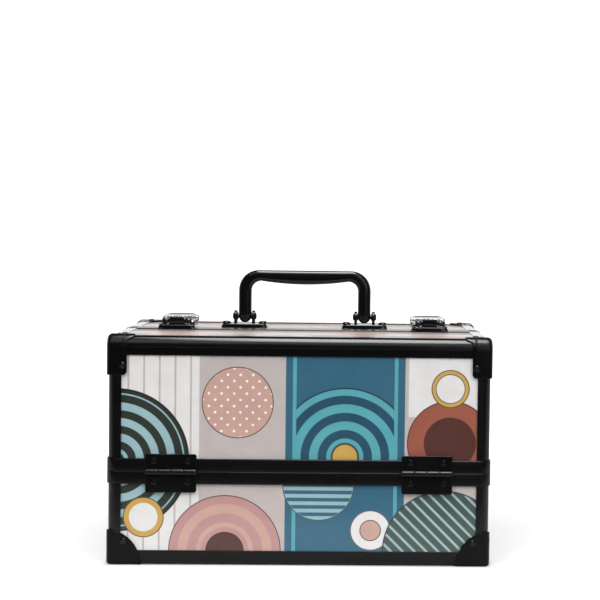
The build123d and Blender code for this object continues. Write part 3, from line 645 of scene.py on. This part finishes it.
def addBands():
    split, gap, height = case["split"], band["gap"], band["height"]
    for body, corners, low, high in (("base", (0, 1, 2, 3), split - height, split - gap),
                                     ("front_lid", (2, 3), split + gap, split + height),
                                     ("back_lid", (0, 1), split + gap, split + height)):
        strip = bandForm(corners, body == "base", low, high)
        addPiece(body + "Band", [strip], "band", body, 50)


addBands()

knuckle = dict(width=42.5, count=4, gap=0.12, y=105.6, radius=2.46, end=1.85, round=0.8, capRadius=1.9, capHeight=0.9)


def addKnuckles():  # a barrel with rounded ends over each hinge knuckle, and a low cap on each pin end
    step = knuckle["width"] / knuckle["count"]
    length = step - 2 * knuckle["gap"]
    along = length * (1 - np.cos(np.linspace(0, np.pi, 25))) / 2
    near = np.clip(np.minimum(along, length - along) / knuckle["round"], 0, 1)
    barrel = revolved(knuckle["end"] + (knuckle["radius"] - knuckle["end"]) * arch(1 - near), along, 32)
    share = np.linspace(0, 1, 10)
    cap = revolved(share * knuckle["capRadius"], knuckle["capHeight"] * arch(share), 24)
    groups = bodyGroups()
    for (sy, lid), sx in product(lids, sides):
        middle, y = sx * hinge["spread"] / 2, sy * knuckle["y"]
        for number in range(knuckle["count"]):
            left = middle - knuckle["width"] / 2 + number * step + knuckle["gap"]
            groups["base" if number % 2 else lid].append(placed(barrel, (left, y, case["split"]), (1, 0, 0)))
        for side in sides:
            end = middle + side * knuckle["width"] / 2
            groups["base"].append(placed(cap, (end, y, case["split"]), (side, 0, 0)))
    for body, shells in groups.items():
        addPiece(body + "Knuckles", shells, "paint", body, 60)


addKnuckles()

grip = dict(width=121.0, rise=42.3, leg=11.6, depth=10.5, outerRadius=18.0, innerRadius=9.0, endThick=8.3,
            midThick=12.9, square=3.0, taper=0.6, y=32.0, pivotZ=201.6)


def addHandle():
    # a squarish ring carried along the U: each ring spans from the outer line to the inner line and across the
    # depth; both lines go round the leg's end, up the leg, round the bend and along the bar to the middle
    half, inner, rise = grip["width"] / 2, grip["width"] / 2 - grip["leg"], grip["rise"]
    sag = grip["midThick"] - grip["endThick"]
    bow = (inner ** 2 + sag ** 2) / (2 * sag)
    low = rise - grip["midThick"]
    end, leg, bend = np.linspace(np.pi / 2, 0, 12)[:-1], np.linspace(0, 1, 14)[:-1], quarter(22)[:-1]
    bar, tip = np.linspace(1, 0, 30), grip["leg"] / 2
    innerX = inner - grip["innerRadius"]
    innerZ = low + innerX ** 2 / (2 * bow) - grip["innerRadius"]

    def line(side, wide, bendX, bendZ, radius, barZ):
        x = [half - tip + side * tip * np.cos(end), wide + 0 * leg, bendX + radius * np.cos(bend), bendX * bar]
        z = [-tip * np.sin(end), bendZ * leg, bendZ + radius * np.sin(bend), barZ]
        x, z = np.concatenate(x), np.concatenate(z)
        return join(x, -x[-2::-1])[:, None], join(z, z[-2::-1])[:, None]

    outer = grip["outerRadius"]
    outerX, outerZ = line(1, half, half - outer, rise - outer, outer, rise + 0 * bar)
    lineX, lineZ = line(-1, inner, innerX, innerZ, grip["innerRadius"], low + (innerX * bar) ** 2 / (2 * bow))
    thick = np.full(len(outerX), grip["depth"] / 2)
    thick[:len(end)] *= np.cos(end) ** grip["taper"]
    thick[len(thick) - len(end):] = thick[:len(end)][::-1]
    across, through = squared(circle(40), 2.0 / grip["square"])
    x = (outerX + lineX) / 2 + (outerX - lineX) / 2 * across
    z = (outerZ + lineZ) / 2 + (outerZ - lineZ) / 2 * across
    shell = surface(x, grip["y"] + thick[:, None] * through, grip["pivotZ"] + z)
    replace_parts(addPiece("moldedHandle", [shell], "handle", "handle", 60), "carry_handle")


addHandle()

bracket = dict(legX=55.1, earInner=6.85, earOuter=9.45, seat=189.8, plateTop=194.9, halfWidth=21.1, halfLength=9.1,
               square=9.0, screwSpread=33.6, screwRadius=4.2, screwHeight=2.2, recess=0.8, boltRadius=3.3,
               boltHeight=1.5, boltFall=3, washer=3.3, washerHole=2.1, washerEdge=0.3, washerGap=0.05, shaft=2.0)


def addBracketFasteners():
    screw = crossHead(bracket["screwRadius"], bracket["screwHeight"], bracket["recess"])
    share = np.linspace(0, 1, 12)
    bolt = revolved(share * bracket["boltRadius"], bracket["boltHeight"] * arch(share, bracket["boltFall"]), 32)
    gap = bracket["earInner"] - grip["leg"] / 2 - 2 * bracket["washerGap"]
    hole, r, edge = bracket["washerHole"], bracket["washer"], bracket["washerEdge"]
    washer = revolved([hole, r - edge, r, r, r - edge, hole, hole], [0, 0, edge, gap - edge, gap, gap, 0], 32)
    shaft = revolved([bracket["shaft"]] * 2, [-2 * bracket["earOuter"], 0], 32)
    y, pivotZ, outer = grip["y"], grip["pivotZ"], bracket["earOuter"]
    shells, spacers = [], []
    for sx in sides:
        x = sx * bracket["legX"]
        for side in sides:
            place = (x + side * bracket["screwSpread"] / 2, y, bracket["plateTop"])
            shells.append(placed(screw, place, (0, 0, 1), (math.cos(side + sx), math.sin(side + sx), 0)))
            shells.append(placed(bolt, (x + side * outer, y, pivotZ), (side, 0, 0)))
            place = (x + side * (grip["leg"] / 2 + bracket["washerGap"]), y, pivotZ)
            spacers.append(placed(washer, place, (side, 0, 0)))
        shells.append(placed(shaft, (x + outer, y, pivotZ), (1, 0, 0)))
    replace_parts(addPiece("bracketFasteners", shells, "gloss", "back_lid"), "handle_bolts")
    addPiece("handleSpacers", spacers, "steel", "back_lid")


addBracketFasteners()

crown = dict(rise=1.2, skin=0.06, flange=11.9, lip=0.7, endArc=4.4, foot=0.4, tuck=1.0, sink=1.6,
             middle=(6.0, 186.0), reach=144.5, endFront=80.9, seam=0.35, seamIn=9.85, seamReach=158.0, seamSink=0.5)
topSheet = dict(low=189.7, top=191.2, lip=0.2, seamUnder=0.2, edgeUnder=0.3)


def crownForm(low, high, arc):
    # raised back of an edge profile: up the face, a quarter ellipse, level, then a small round down to the panel;
    # the section is (inward, height) and is carried along the edge
    turn, top, skin, lip, flange = quarter(18), case["top"], crown["skin"], crown["lip"], crown["flange"]
    bend, level, foot = turn[::3], top + crown["rise"] - lip, top - case["edgeRadius"] - crown["foot"]
    inward = join([crown["tuck"], -skin], arc - (arc + skin) * np.cos(turn),
                  flange - lip + lip * np.sin(bend), [flange])
    height = join([foot, foot], top - arc + (arc + crown["rise"]) * np.sin(turn),
                  level + lip * np.cos(bend), [top - crown["sink"]])
    return prism((inward, height), crown["middle"], low, high)


def barForm(sy, low, high, bottom, top, lip, reach):
    # a flat bar along the width: its section goes up, round both upper edges and down
    turn = quarter(8)
    y = join([low], low + lip - lip * np.cos(turn), high - lip + lip * np.sin(turn), [high])
    z = join([bottom], top - lip + lip * np.sin(turn), top - lip + lip * np.cos(turn), [bottom])
    x, y, z = prism((y, z), ((low + high) / 2, (bottom + top) / 2), -reach, reach)
    return surface(x, sy * y, z)


def addCrowns():
    top, seamIn, inner = case["top"], crown["seamIn"], topSheet["edgeUnder"] - crown["flange"]
    for sy, body in lids:
        along, inward, height = crownForm(crown["seam"], crown["endFront"], crown["endArc"])
        ends = [surface(sx * (halfX - inward), sy * along, height) for sx in sides]
        addPiece(body + "EndCrowns", ends, "sheen", body, 50)
        along, inward, height = crownForm(-crown["reach"], crown["reach"], case["edgeRadius"])
        seam = barForm(sy, crown["seam"], seamIn, top - crown["seamSink"], top + crown["rise"], crown["lip"],
                       crown["seamReach"])
        shells = [surface(along, sy * (halfY - inward), height), seam]
        addPiece(body + "Crowns", shells, "anodised", body, 50)
        sheet = barForm(sy, seamIn - topSheet["seamUnder"], halfY + inner, topSheet["low"], topSheet["top"],
                        topSheet["lip"], halfX + inner)
        addPiece(body + "TopSheet", [sheet], "topPrint", body, 50)


addCrowns()

bead = dict(radius=0.5, tip=0.02, inset=13.0, lowZ=174.0, innerReach=12.0)
# spread: how far the normal has turned up where the plate widens to the flange, as (start, span);
# hems: points of the tucked-in inner edge, as (across, down)
capShell = dict(low=159.3, plain=5.0, back=80.8, inner=15.6, cornerRadius=3.4, edge=4.0, turnIn=2.7, wallHem=0.2,
                flange=21.2, spread=(0.5, 0.4), slant=90.0, slantIn=12.0, fade=0.8, roll=0.1,
                hems=((0.30, 0.8), (0.28, 0.25), (0.12, 0.05)))


def capForm():
    # cap over the front left corner: a line up the front, round the top edge and back, carried across
    # to the outer corner and round it; each point lies off the case's face by a set distance along its normal
    turn, bend, flat = quarter(16), quarter(12)[1:], np.linspace(0, 1, 6)
    top, r, skin = case["top"], case["edgeRadius"], corner["shellSkin"]
    low, trim, edge, roll = (capShell[key] for key in ("low", "cornerRadius", "edge", "roll"))
    up = join(np.linspace(low, low + trim, 8), np.linspace(low + capShell["plain"], top - r, 8))
    back = np.linspace(-halfY + r, -capShell["back"], 10)
    baseY = join(0 * up - halfY, -halfY + r - r * np.cos(turn), back)
    baseZ = join(up, top - r + r * np.sin(turn), 0 * back + top)
    normY = join(0 * up - 1, -np.cos(turn), 0 * back)
    normZ = join(0 * up, np.sin(turn), 0 * back + 1)
    inner = -halfX + capShell["inner"] - trim * (1 - arch(part(baseZ, low + trim, -trim)))
    # the flange on top is wider than the front plate, and its back corner is cut off at a slant
    spread = part(normZ, *capShell["spread"])
    inner = inner + (capShell["flange"] - capShell["inner"]) * spread * spread * (3 - 2 * spread)
    slant = part(baseY, -capShell["slant"], capShell["slant"] - capShell["back"])
    inner = (inner - (capShell["flange"] - capShell["slantIn"]) * slant)[:, None]
    # across: tucked-in inner edge, flat face, round outer corner, a short wall down the end face
    outer, wall = -halfX - skin + edge, skin - edge - capShell["turnIn"]
    hemAcross, hemDown = np.array(capShell["hems"]).T
    acrossX = np.concatenate([
        inner + hemAcross, inner - roll + (outer - inner + roll) * flat, 0 * inner + (outer - edge * np.sin(bend)),
        0 * inner + np.array([-halfX - skin, -halfX - capShell["wallHem"]])], 1)
    offset = join(skin - hemDown, 0 * flat + skin, skin - edge + edge * np.cos(bend),
                  [wall, wall - capShell["wallHem"]])
    sunk = np.minimum(offset, skin - hemDown[0])
    offset = np.stack([sunk] + [offset] * len(baseY) + [sunk])
    # the lift of the top flange fades toward its back edge
    fade = capShell["fade"] * part(baseY, r - halfY, halfY - r - capShell["back"])
    baseZ = baseZ + corner["shellLift"] * normZ * (1 - fade)
    rows = np.clip(np.arange(-1, len(baseY) + 1), 0, len(baseY) - 1)  # the first and last lines turn in
    baseY, baseZ, normY, normZ = (values[rows, None] for values in (baseY, baseZ, normY, normZ))
    return surface(acrossX[rows], baseY + normY * offset, baseZ + normZ * offset, False)


def beadForm(skin, lift):
    # a thin round bead carried up the face, round the top edge and a short way back: (across, depth, height)
    turn, r, top = quarter(16), case["edgeRadius"], case["top"]
    arc = r + skin
    inward = join([-skin], r - arc * np.cos(turn), [bead["innerReach"]])[:, None]
    height = join([bead["lowZ"]], top - r + (arc + lift) * np.sin(turn), [top + skin + lift])[:, None]
    tilt = join([0.0], turn, [np.pi / 2])[:, None]
    swell = bead["radius"] * join([bead["tip"]], np.ones(len(turn)), [bead["tip"]])[:, None]
    out = swell * np.cos(circle(10))
    return swell * np.sin(circle(10)), inward - out * np.cos(tilt), height + out * np.sin(tilt)


def addCaps():
    points, faces = capForm()
    for sy, body in lids:
        shells = []
        for sx in sides:
            shells.append((points * np.array([-sx, -sy, 1.0]), faces))
            across, depth, z = beadForm(corner["shellSkin"], corner["shellLift"])
            shells.append(surface(sx * (halfX - bead["inset"]) + across, sy * (halfY - depth), z))
            across, depth, z = beadForm(corner["capSkin"], crown["rise"])
            shells.append(surface(sx * (halfX - depth), sy * (halfY - bead["inset"]) + across, z))
        addPiece(body + "Caps", shells, "paint", body, 60)


addCaps()

plate = dict(edge=0.16, flat=0.82, roll=0.10)


def plateForm(wide, deep, low, heights, power, middle):
    # a plate: a rounded-rectangle ring drawn in to the middle, lifted to the given heights, with a rolled edge
    rolled = 1 - plate["edge"] * (1 - np.cos(quarter(9)))
    share = join([1.0], rolled, np.linspace(plate["flat"], 0, 20))[:, None]
    ringX, ringY = squared(circle(144), 2.0 / power)
    x, y = wide * share * ringX, deep * share * ringY
    z = low + heights(x, y) * arch(1 - part(share, 1.0, -plate["roll"]))
    x, y, z = (join(0 * values[:1] + start, values) for values, start in ((x, 0), (y, 0), (z, low)))
    return surface(middle[0] + x, middle[1] + y, z)


def addBracketPlates():  # a thicker plate with a rolled edge round the foot of each handle bracket
    rise = bracket["plateTop"] - bracket["seat"]
    plates = [plateForm(bracket["halfWidth"], bracket["halfLength"], bracket["seat"], lambda x, y: rise,
                        bracket["square"], (sx * bracket["legX"], grip["y"])) for sx in sides]
    addPiece("bracketPlates", plates, "gloss", "back_lid", 60)


addBracketPlates()

latch = dict(spread=226.0, rim=4.4, dip=3.0, plateX=16.7, plateY=5.45, plateMiddle=-6.75, square=7.0,
             dipX=11.2, dipEndSlope=0.5, dipY=-10.2, dipFrontSlope=0.4, barY=-8.6, blockWidth=13.6, blockLow=196.4,
             blockHigh=202.6, blockFront=-11.2, blockBack=-7.5, blockRound=0.35, blockEnd=24,
             ribs=7, ribDepth=0.5, knobX=10.0, knobZ=199.0, knobRadius=2.5, knobHalf=3.3, knobRound=0.5, screwX=14.3,
             screwRadius=1.9, screwHeight=1.0, screwSink=0.05, recess=0.5)
# each From is the (start, span) of a change, as a share of the way along or across
leverCover = dict(halfWidth=15.4, start=20.6, bend=28.0, end=37.4, low=200.6, tip=202.0, thick=0.8, lip=0.4, gap=0.02,
                  lipFrom=(0.8, 0.2), lipUnder=0.6, cornerRadius=6.0, cornerFrom=(0.7, 0.3), shoulder=0.5,
                  shoulderFrom=(0.9, 0.1))
skirt = dict(start=15.0, end=35.0, low=193.2, x=15.15, thick=0.8, under=0.25, frontDrop=3.0, dropFrom=(0.3, -0.3),
             backRise=4.6, backFrom=(0.45, 0.55), backPower=1.6, frontRise=0.8, frontFrom=(0.12, -0.12), round=0.5)


def closedTube(points):  # both ends of a tube drawn in to the middle of its end rings
    points = join(0 * points[:1] + points[0].mean(0), points, 0 * points[:1] + points[-1].mean(0))
    return points.reshape(-1, 3), gridFaces(*points.shape[:2], True)


def claw(x):
    # ribbed block: a rounded outline in depth and height carried across, its front waved into ribs
    across = np.linspace(-1, 1, 113)[:, None]
    deep, high = squared(circle(36), latch["blockRound"])
    front, back, low, top = (latch["block" + key] for key in ("Front", "Back", "Low", "High"))
    ends = arch(np.abs(across), latch["blockEnd"])
    rib = latch["ribDepth"] * (0.5 - 0.5 * np.cos(across * np.pi * latch["ribs"])) * (deep < 0)
    y = (front + back) / 2 + deep * (back - front) / 2 * ends + rib
    return surface(x + across * latch["blockWidth"] / 2, y, (low + top) / 2 + high * (top - low) / 2 * ends)


def keeperHeights(x, y):  # raised along the front and at both ends, lower where the loop lies
    ends = part(np.abs(x), latch["dipX"], latch["dipEndSlope"])
    front = part(y, latch["dipY"] - latch["plateMiddle"], -latch["dipFrontSlope"])
    return latch["dip"] + (latch["rim"] - latch["dip"]) * np.maximum(ends, front)


def leverTop(y):  # height of the cover's underside: level, then lifting to the tip
    lift = part(y, leverCover["bend"], leverCover["end"] - leverCover["bend"])
    return leverCover["low"] + (leverCover["tip"] - leverCover["low"]) * lift


def leverSheet(x):
    # chrome cover: a sheet over the finger plate, lifting to a rolled end with rounded corners
    along, across = np.linspace(0, 1, 40)[:, None], np.linspace(-1, 1, 49)[None, :]
    y = leverCover["start"] + (leverCover["end"] - leverCover["start"]) * along
    under = leverTop(y)
    drawnIn = leverCover["cornerRadius"] * (1 - arch(part(along, *leverCover["cornerFrom"])))
    lip = leverCover["lip"] * part(along, *leverCover["lipFrom"]) ** 2
    wide = x + across * (leverCover["halfWidth"] - drawnIn)
    shoulder = leverCover["shoulder"] * part(np.abs(across), *leverCover["shoulderFrom"]) ** 2
    faces = (under + leverCover["thick"] + lip - shoulder, under + leverCover["gap"] + leverCover["lipUnder"] * lip)
    top, bottom = (np.stack(np.broadcast_arrays(wide, y, z), -1) for z in faces)
    return closedTube(np.concatenate([top, bottom[:, ::-1]], 1))


def leverSkirt(x, side):
    # side wall of the cover: a flat ring carried back, tall in the middle and rounded off at both ends
    along = np.linspace(0, 1, 40)[:, None]
    y = skirt["start"] + (skirt["end"] - skirt["start"]) * along
    drop = skirt["frontDrop"] * (1 - arch(part(along, *skirt["dropFrom"])))
    high = leverTop(y) + leverCover["thick"] - skirt["under"] - drop
    low = skirt["low"] + skirt["backRise"] * part(along, *skirt["backFrom"]) ** skirt["backPower"]
    low = low + skirt["frontRise"] * part(along, *skirt["frontFrom"]) ** 2
    out, up = squared(circle(24), skirt["round"])
    wide = x + side * (skirt["x"] + skirt["thick"] / 2 * (1 + out))
    return closedTube(np.stack(np.broadcast_arrays(wide, y, (high + low) / 2 + (high - low) / 2 * up), -1))


def addLatchDetails():
    turn = np.linspace(-np.pi / 2, np.pi / 2, 15)
    knob = revolved(latch["knobRadius"] * np.cos(turn) ** latch["knobRound"], latch["knobHalf"] * np.sin(turn), 24)
    screw = crossHead(latch["screwRadius"], latch["screwHeight"], latch["recess"])
    screwZ = case["top"] + latch["rim"] - latch["screwSink"]
    keepers, screws = [], []
    for name, sx in (("left", -1), ("right", 1)):
        x = sx * latch["spread"] / 2
        shells, middle = [claw(x)], latch["plateMiddle"]
        for side in sides:
            place = (x + side * latch["knobX"], latch["barY"], latch["knobZ"])
            shells.append(placed(knob, place, (1, 0, 0)))
            place = (x + side * latch["screwX"], middle, screwZ)
            screws.append(placed(screw, place, (0, 0, 1), (math.cos(side), math.sin(side), 0)))
        addPiece(name + "LatchClaw", shells, "gloss", name + "_latch_loop", 50)
        keepers.append(plateForm(latch["plateX"], latch["plateY"], case["top"], keeperHeights, latch["square"],
                                 (x, middle)))
        shells = [leverSheet(x)] + [leverSkirt(x, side) for side in sides]
        addPiece(name + "LeverCover", shells, "chrome", name + "_latch_lever", 50)
    addPiece("keeperPlates", keepers, "gloss", "front_lid", 60)
    addPiece("keeperScrews", screws, "gloss", "front_lid")


addLatchDetails()

mat = dict(halfX=148.4, halfY=90.4, low=6.2, thick=2.0, crown=0.35, fall=6, cornerPower=22.0)


def addMat():
    # a flat foam sheet: a rounded-rectangle ring drawn in towards the middle, its top crowned and its edge round
    ringX, ringY = squared(circle(160), 2.0 / mat["cornerPower"])
    inward = np.linspace(1, 0, 24)[1:, None]
    roll = np.linspace(-np.pi / 2, np.pi / 2, 9)[:, None]
    edge = mat["thick"] / 2
    sideZ = mat["low"] + edge * (1 - mat["crown"] / mat["thick"]) * (1 + np.sin(roll))
    topZ = mat["low"] + mat["thick"] - mat["crown"] + mat["crown"] * arch(inward, mat["fall"])
    reach = []
    for half in (mat["halfX"] - edge, mat["halfY"] - edge):
        reach.append(join((half * inward)[::-1], half + edge * np.cos(roll), half * inward))
    z = join(0 * topZ + mat["low"], sideZ, topZ)
    shell = surface(reach[0] * ringX, reach[1] * ringY, z)
    piece = addPiece("floorMat", [shell], "velvet", "base", 80)
    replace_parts(piece, "base_floor_mat")


addMat()
print("case: added pieces in place")

# edges, shades and glows in metres from the middle of the case; tones are greys out of 255
stageFloor = dict(glow=0.45, nearEdge=0.26, farEdge=0.6, frontShade=(0.25, 0.36), frontGlow=(0.20, 0.31),
                  tones=(196, 200), frontTone=30, toneSize=3.0, toneDetail=4.0, toneSpan=(0.3, 0.7), rough=0.9,
                  level=0.1, clear=(-0.004, 0.006), left=-6, right=6, near=-6, far=14)


def addFloor():  # pale paper that keeps the shadow near the case and runs out to the white backdrop
    floor = stageFloor
    made, tree, shader = startMaterial("paleFloor")
    where = objectPlace(tree)
    place = axesOf(tree, where)
    tone = ramp(tree, noise(tree, where, floor["toneSize"], floor["toneDetail"]), *floor["toneSpan"])
    pale = mixColor(tree, tone, *[ink(grey, grey, grey) for grey in floor["tones"]])
    ahead = calc(tree, "MULTIPLY", place[1], -1.0)
    dark = ink(*[floor["frontTone"]] * 3)
    feed(tree, shader["Base Color"], mixColor(tree, ramp(tree, ahead, *floor["frontShade"]), pale, dark))
    feed(tree, shader["Roughness"], floor["rough"])
    feed(tree, shader["Specular IOR Level"], floor["level"])
    away = node(tree, "ShaderNodeVectorMath", {0: where}, operation="LENGTH").outputs["Value"]
    past = [calc(tree, "SUBTRACT", calc(tree, "ABSOLUTE", axis), half * mm)
            for axis, half in zip(place, (halfX, halfY))]
    clear = ramp(tree, calc(tree, "MAXIMUM", *past), *floor["clear"])
    far = ramp(tree, away, floor["nearEdge"], floor["farEdge"], floor["glow"], 1.0)
    far = calc(tree, "MULTIPLY", calc(tree, "MAXIMUM", far, ramp(tree, ahead, *floor["frontGlow"])), clear)
    seen = node(tree, "ShaderNodeLightPath").outputs["Is Camera Ray"]
    glow = node(tree, "ShaderNodeEmission", dict(Strength=calc(tree, "MULTIPLY", far, seen))).outputs[0]
    paper = shader["Roughness"].node.outputs[0]
    outlet = paper.links[0].to_socket
    feed(tree, outlet, node(tree, "ShaderNodeAddShader", {0: paper, 1: glow}).outputs[0])
    mesh = bpy.data.meshes.new("floor")
    left, right, near, back = (floor[key] for key in ("left", "right", "near", "far"))
    mesh.from_pydata([(left, near, 0), (right, near, 0), (right, back, 0), (left, back, 0)], [], [(0, 1, 2, 3)])
    mesh.materials.append(made)
    sheet = bpy.data.objects.new("floor", mesh)
    scene.collection.objects.link(sheet)


# sky: strength for matt faces; roomGloss: what gloss shows of the room, from the left to the right between roomTurn;
# backdrop: where gloss shows the white backdrop, by the direction's depth and height
# lamp: place, size across and along, power, whether gloss shows it, whether it lights matt faces
studio = dict(sky=0.5, roomGloss=(0.03, 0.10), roomTurn=(-0.15, 0.15), backdropDepth=(-0.12, 0.2),
              backdropHeight=(0.34, 0.55), aim=(0, 0, 0.1), lamps=(
    ("topLamp", (0.08, -0.38, 1.75), 0.66, 1.1, 34.0, True, False),
    ("softTop", (0.0, -0.2, 1.75), 1.2, 1.2, 14.0, False, True),
    ("browLamp", (0.0, -1.25, 1.55), 2.0, 1.1, 9.0, True, True),
    ("keyLamp", (-1.1, -1.5, 1.5), 1.4, 1.4, 18.5, False, True),
    ("fillLamp", (1.3, -1.5, 1.1), 1.4, 1.4, 16.5, False, True),
    ("rightPanel", (0.78, -2.4, 0.8), 0.8, 1.3, 3.2, True, False)))


def holdAt(name, data, right, up, forward, place):  # an object in the scene, looking forward from a place in metres
    holder = bpy.data.objects.new(name, data)
    scene.collection.objects.link(holder)
    holder.matrix_world = Matrix([[right[i], up[i], -forward[i], place[i]] for i in range(3)] + [[0, 0, 0, 1]])
    return holder


def addLight():
    world = bpy.data.worlds.new("studio")
    scene.world = world
    world.use_nodes = True
    tree = world.node_tree
    tree.nodes.clear()
    ray = node(tree, "ShaderNodeLightPath").outputs
    way = axesOf(tree, node(tree, "ShaderNodeTexCoord").outputs["Generated"])
    # gloss shows the white backdrop behind the case, and the dim room above and in front of it
    behind = ramp(tree, way[1], *studio["backdropDepth"])
    backdrop = calc(tree, "MULTIPLY", behind, ramp(tree, way[2], *studio["backdropHeight"], 1.0, 0.0))
    room = ramp(tree, way[0], *studio["roomTurn"], *studio["roomGloss"])
    gloss = calc(tree, "MULTIPLY_ADD", backdrop, calc(tree, "SUBTRACT", 1.0, room), room)
    mirrored = calc(tree, "MAXIMUM", ray["Is Glossy Ray"], ray["Is Transmission Ray"])
    lit = calc(tree, "MULTIPLY_ADD", calc(tree, "SUBTRACT", gloss, studio["sky"]), mirrored, studio["sky"])
    seen = calc(tree, "MULTIPLY_ADD", calc(tree, "SUBTRACT", 1.0, lit), ray["Is Camera Ray"], lit)
    back = node(tree, "ShaderNodeBackground", dict(Color=(1, 1, 1, 1), Strength=seen)).outputs[0]
    node(tree, "ShaderNodeOutputWorld", {0: back})
    for name, place, across, along, power, shown, soft in studio["lamps"]:
        lamp = bpy.data.lights.new(name, "AREA")
        lamp.shape = "RECTANGLE"
        lamp.size, lamp.size_y = across, along
        lamp.energy = power
        away = np.array(place) - np.array(studio["aim"])
        forward = -away / np.linalg.norm(away)
        right = np.cross(forward, (0, 0, 1.0))
        right /= np.linalg.norm(right)
        holder = holdAt(name, lamp, right, np.cross(right, forward), forward, place)
        holder.visible_glossy, holder.visible_diffuse = shown, soft
        holder.visible_camera = False


# place in millimetres, angles in degrees; focal length, lens shift and frame in pixels of the photo
view = dict(place=(32.85, -1370.28, 286.39), yaw=-1.8578, pitch=-2.5269, roll=-0.7688, focal=1521.86,
            slide=(-90.0, -7.27), frame=600, sensor=36.0, clip=50.0)


def addCamera():  # the camera looks along +Y, then is turned by roll, pitch and yaw
    yaw, pitch, roll = (math.radians(view[key]) for key in ("yaw", "pitch", "roll"))
    turn = Matrix.Rotation(yaw, 3, "Z") @ Matrix.Rotation(pitch, 3, "X") @ Matrix.Rotation(roll, 3, "Y")
    right, forward, up = turn.col
    data = bpy.data.cameras.new("photoCamera")
    data.sensor_width = view["sensor"]
    data.lens = view["focal"] / view["frame"] * view["sensor"]
    data.shift_x, data.shift_y = (shift / view["frame"] for shift in view["slide"])
    data.clip_end = view["clip"]
    scene.camera = holdAt("photoCamera", data, right, up, forward, [item * mm for item in view["place"]])


addFloor()
addLight()
addCamera()
print("case: stage, light and camera ready")
